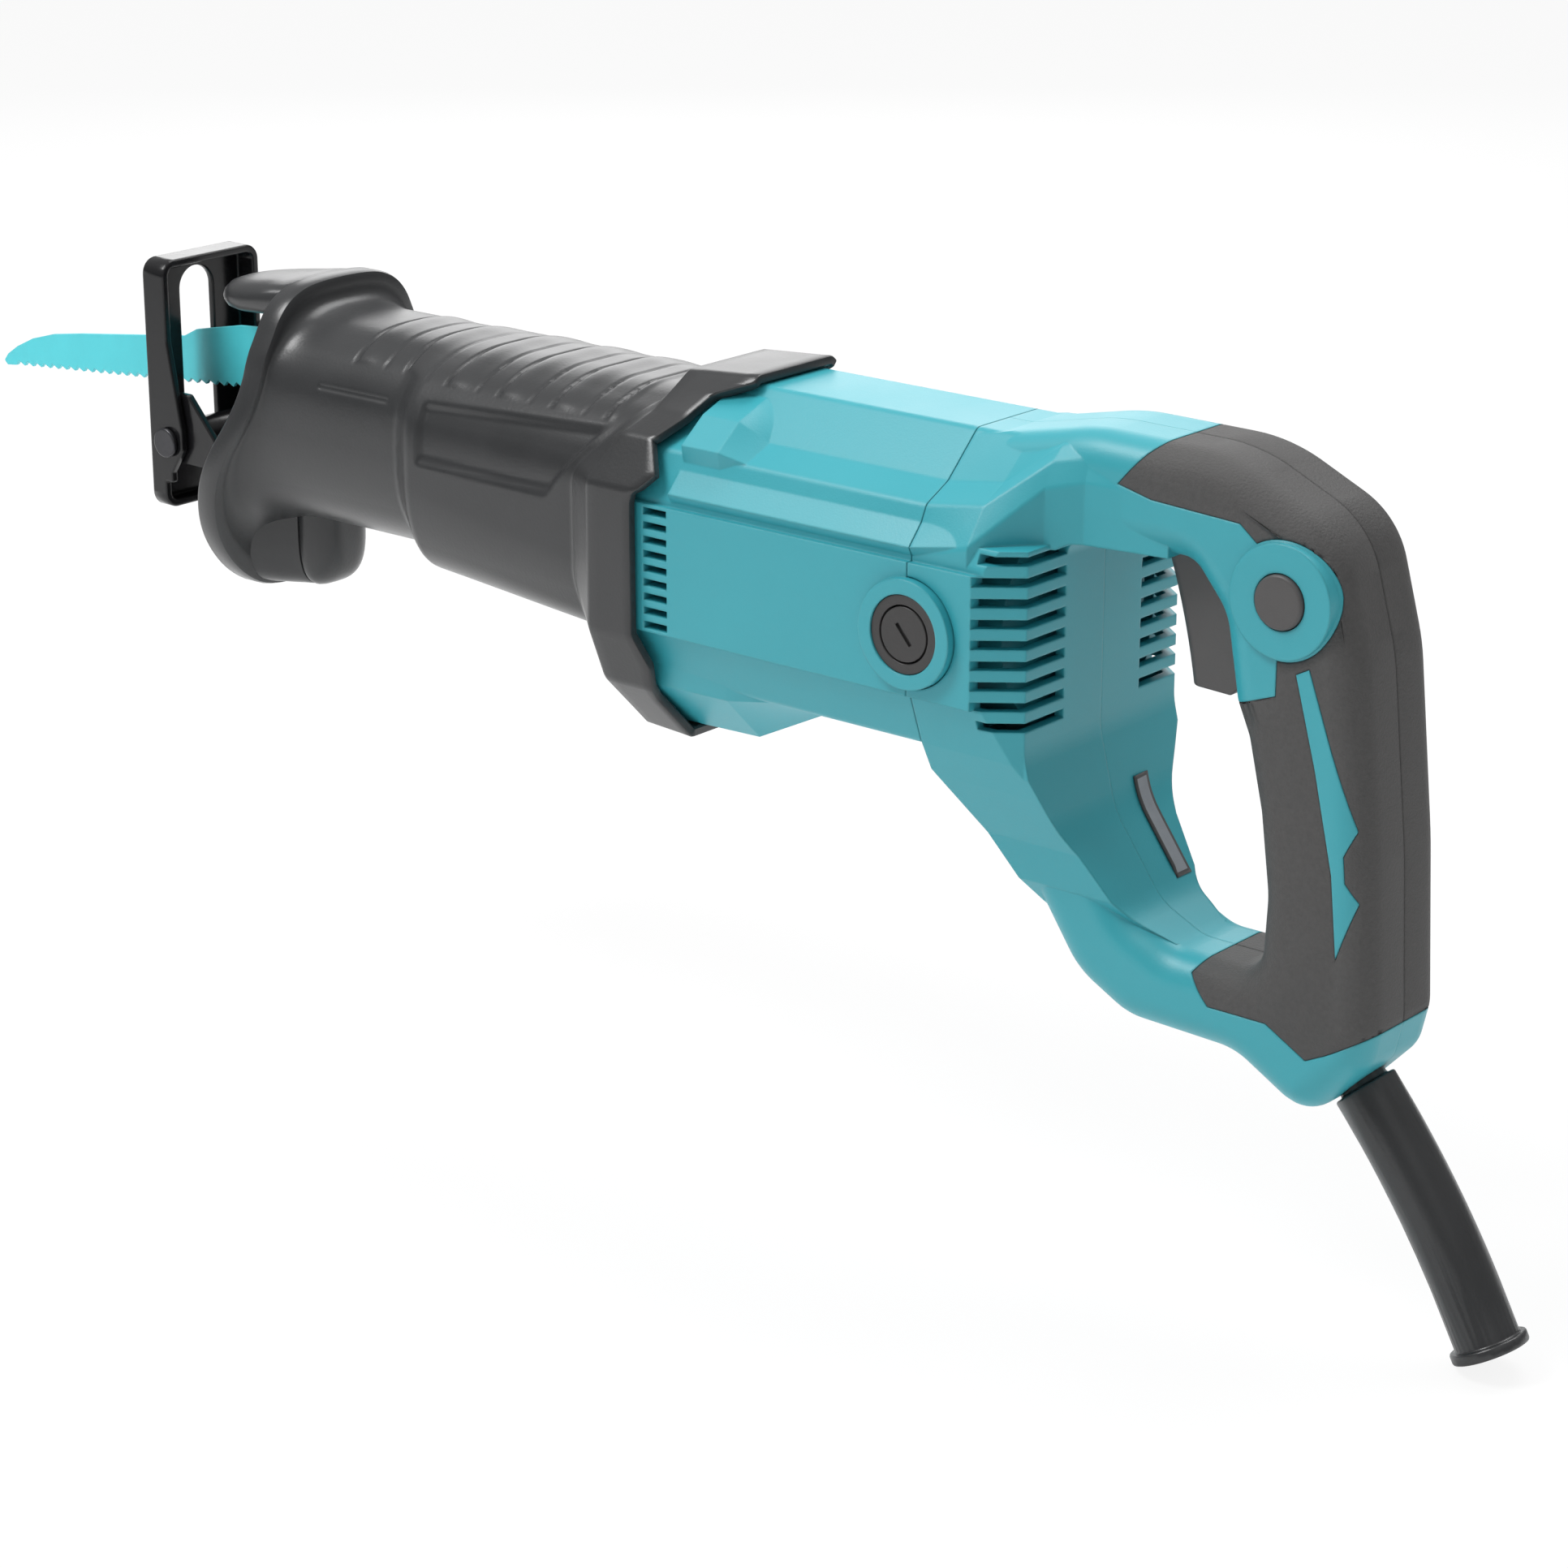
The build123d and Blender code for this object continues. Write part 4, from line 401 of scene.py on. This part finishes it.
lean = np.convolve(np.pad(np.interp(level, *zip(*GUARD_LEAN)), 20, mode="edge"), np.ones(41) / 41, "valid")


def guard_ring(inset, back):
    """Ring of the hand guard: how far inside its outline, and how far behind its front edge."""
    y = (reach - inset) * np.cos(angle)
    z = (reach - inset) * np.sin(angle) + GUARD_HUB
    return np.stack([np.interp(z, level, lean) + back, y, z], 1)


mouth = barrel + inward(barrel) * WALL
mouth[:, 0] = np.interp(mouth[:, 2], level, lean) + 1.5
front = [mouth] + [guard_ring(inset, back) for inset, back in GUARD_PROFILE]
root = front[-1]
for step in range(1, COVE_STEPS + 1):
    swing = step / (COVE_STEPS + 1) * math.pi / 2
    fall = math.sin(swing) ** 0.6
    front.append(root + (barrel - root) * np.array([1 - math.cos(swing) ** 0.6, fall, fall]))
lip_in = inward(rim)
lip = [rim + lip_in * 0.25 - np.array([0.25, 0, 0]), rim + lip_in * 0.8, rim + lip_in * 2.3,
       rim + lip_in * WALL - np.array([0.6, 0, 0])]
inside = [points + inward(points) * WALL
          for points in (stations[-5], stations[-9], stations[-14], stations[belly_row], stations[flare_row],
                         stations[0])]


def skin(loops, closed=False):
    """Faces between rings of points: the last ring joins the first, or both ends are filled."""
    count = len(loops[0])
    rows = len(loops) if closed else len(loops) - 1
    faces = []
    for row in range(rows):
        here = row * count
        there = (row + 1) % len(loops) * count
        for j in range(count):
            k = (j + 1) % count
            faces.append((here + j, here + k, there + k, there + j))
    if not closed:
        faces += [tuple(range(count)), tuple(range(rows * count, (rows + 1) * count))]
    return faces


def shape(name, points, faces, finish):
    """Mesh object from points and faces, smooth apart from its sharp edges."""
    mesh = bpy.data.meshes.new(name)
    mesh.from_pydata([tuple(p) for p in points], [], faces)
    work = bmesh.new()
    work.from_mesh(mesh)
    bmesh.ops.recalc_face_normals(work, faces=work.faces)
    work.to_mesh(mesh)
    work.free()
    mesh.shade_smooth()
    mesh.set_sharp_from_angle(angle=math.radians(40))
    mesh.materials.append(finish.material)
    piece = bpy.data.objects.new(name, mesh)
    scene.collection.objects.link(piece)
    return piece


boot_rubber = Finish("boot_rubber")
boot_rubber.coat((0.020, 0.021, 0.022), (0.032, 0.033, 0.035), 35, (0.26, 0.38), 1100, 0.12)
loops = front + outer + lip + inside
boot = shape("boot", np.concatenate(loops) * MM, skin(loops, closed=True), boot_rubber)
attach(boot, "tool_body")
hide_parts("front_boot")

# Visor and front half of the lower lobe: thick tongues of the boot's own moulding, above and below the blade.
# The visor's plan ends in a half circle, and its layers are (inset from the plan, share of the thickness).
VISOR_HALF = 19
VISOR_ROUND_X = 43
VISOR_TIP_X = VISOR_ROUND_X - VISOR_HALF
VISOR_CORE = np.array([46, 0])
VISOR_LAYERS = [(8, 0.0), (3.2, 0.02), (1.2, 0.16), (0.2, 0.38), (0, 0.55), (0.5, 0.75), (2.2, 0.93),
                (5, 1.0), (10, 1.03)]
plan = [(62, VISOR_HALF), (50, VISOR_HALF), (VISOR_ROUND_X, VISOR_HALF)]
plan += [(VISOR_ROUND_X - VISOR_HALF * math.sin(a), VISOR_HALF * math.cos(a))
         for a in np.linspace(0, math.pi / 2, 12)[1:]]
plan = np.array(plan + [(x, -y) for x, y in plan[-2::-1]])
away = plan - VISOR_CORE
layers = []
for inset, share in VISOR_LAYERS:
    flat = VISOR_CORE + away * (1 - inset / np.linalg.norm(away, axis=1)[:, None])
    low = 18.5 + (flat[:, 0] - VISOR_TIP_X) * 0.05
    high = 26.5 + (flat[:, 0] - VISOR_TIP_X) * 0.13 - 0.004 * flat[:, 1] ** 2
    layers.append(np.stack([flat[:, 0], flat[:, 1], low + (high - low) * share], 1))
visor = shape("visor", np.concatenate(layers) * MM, skin(layers), boot_rubber)
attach(visor, "tool_body")

LOBE_ROOT_Z = -38
LOBE_WAIST_Z = -46
LOBE_LEVELS = [(39, 25.5, 20.6), (45, 21.5, 20.8), (50, 16.6, 20.8), (54, 13.2, 20.6), (56, 12, 20.5),
               (56.6, 11.7, 20.2), (56.8, 11.2, 19.7)]
swing = np.linspace(0, math.pi, 25)
bowl_y = np.sign(np.cos(swing)) * np.abs(np.cos(swing)) ** 0.6
bowl_z = np.abs(np.sin(swing)) ** 0.6


def lobe_part(name, levels):
    """Part of the lower lobe: a bowl-shaped section at each (x, half width, depth)."""
    layers = []
    for x, half, depth in levels:
        bowl = np.stack([np.full(len(swing), x), half * bowl_y, LOBE_WAIST_Z - depth * bowl_z], 1)
        layers.append(np.concatenate([[(x, half, LOBE_ROOT_Z)], bowl, [(x, -half, LOBE_ROOT_Z)]]))
    return shape(name, np.concatenate(layers) * MM, skin(layers), boot_rubber)


lobe = lobe_part("lower_lobe", LOBE_LEVELS)
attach(lobe, "tool_body")

# Shoe lock: rear half of the lobe, a rubber-covered button that slides across to free the shoe's arm.
# It starts at a narrow seam behind the front half and rounds off to the rear.
LOCK_X = 57.4
LOCK_LENGTH = 10.5
levels = [(57.2, 11.2, 19.7), (LOCK_X, 11.7, 20.2)]
for share in np.sin(np.linspace(0, math.pi / 2, 14))[1:]:
    fall = math.sqrt(max(0.0, 1 - share * share))
    levels.append((LOCK_X + LOCK_LENGTH * share, 3 + 9 * fall, 4 + 16.5 * fall ** 0.8))
button = lobe_part("shoe_lock", levels)
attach(button, "shoe_lock")
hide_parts("shoe_lock_button")

# Cord guard: rubber sleeve clamped in the handle's foot, which keeps the cord from kinking.
# The slider's dust seal is a lip of the same rubber.
dress(["cord_guard", "slider_dust_seal"], boot_rubber, 0.6)

# Trigger, lock button and the insulating parts inside: dark moulded plastic.
# The brush caps are a blacker, glossier plastic, screwed into the housing's sides.
dark = Finish("dark_plastic")
dark.coat((0.060, 0.057, 0.057), (0.085, 0.081, 0.081), 80, (0.40, 0.60), 1500, 0.15)
dress(["trigger", "lock_button"], dark, 0.6)
cap_plastic = Finish("cap_plastic")
cap_plastic.coat((0.022, 0.021, 0.021), (0.034, 0.032, 0.032), 90, (0.34, 0.5), 1500, 0.12)
dress(["brush_caps"], cap_plastic, 0.25)
dress(["switch_body", "cord_clamp", "noise_filter", "fan_baffle", "cooling_fan", "carbon_brushes"], dark)

# Rating plate: printed foil stuck to the strut above the lower arm, left bare inside its dark frame.
# Its points are laid on the strut's rear face, and the first and last rows and columns are the frame.
LABEL_ROWS = [-93, -92, *np.linspace(-90, -70, 14), -68.5, -67.5]
LABEL_COLUMNS = (10, 10.9, 15.6, 16.5)
LABEL_LIFT = 0.25
foil = Finish("label_foil")
foil.coat((0.20, 0.22, 0.24), (0.30, 0.32, 0.35), 200, (0.28, 0.42), 900, 0.05)
graph = bpy.context.evaluated_depsgraph_get()
spots = []
for z in LABEL_ROWS:
    for y in LABEL_COLUMNS:
        _, spot, facing, *_ = scene.ray_cast(graph, Vector((385, y, z)) * MM, (-1, 0, 0))
        spots.append(spot + facing * LABEL_LIFT * MM)
faces = [(4 * row + k, 4 * row + k + 1, 4 * row + k + 5, 4 * row + k + 4)
         for row in range(len(LABEL_ROWS) - 1) for k in range(3)]
label = shape("rating_label", spots, faces, dark)
label.data.materials.append(foil.material)
for row in range(1, len(LABEL_ROWS) - 2):
    label.data.polygons[3 * row + 1].material_index = 1
sheet = label.modifiers.new("sheet", "SOLIDIFY")
sheet.thickness = 0.6 * MM
sheet.offset = -1
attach(label, "tool_body")
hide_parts("rating_plate")

# Works inside: steel shafts, gears, cores and screws, a cast alloy case, copper windings and bronze bushes.
# Only the clamp sleeve, the screws' heads and what lies behind the cooling slots can be seen.
steel = Finish("machined_steel", Metallic=1.0)
steel.coat((0.42, 0.42, 0.43), (0.56, 0.56, 0.57), 150, (0.28, 0.42), 900, 0.1)
dress(["slider_shaft", "clamp_pin", "clamp_sleeve", "crank_roller", "crank_gear", "crank_spindle",
       "crank_lower_bearing", "crank_upper_bearing", "motor_front_bearing", "motor_rear_bearing",
       "drive_pinion", "armature_shaft", "gear_cover_screws", "housing_screws", "handle_screws",
       "trigger_pin", "cord_clamp_screws", "brush_springs", "armature_core", "field_core"], steel)
alloy = Finish("cast_alloy", Metallic=0.9)
alloy.coat((0.42, 0.43, 0.44), (0.55, 0.56, 0.57), 120, (0.48, 0.62), 500, 0.3)
dress(["gear_housing", "gear_housing_cover"], alloy)
copper = Finish("copper", Metallic=1.0)
copper.coat((0.55, 0.26, 0.12), (0.68, 0.36, 0.18), 200, (0.32, 0.48), 1200, 0.3)
dress(["armature_winding", "field_coils", "commutator", "brush_holders", "slider_front_bush",
       "slider_rear_bush"], copper)
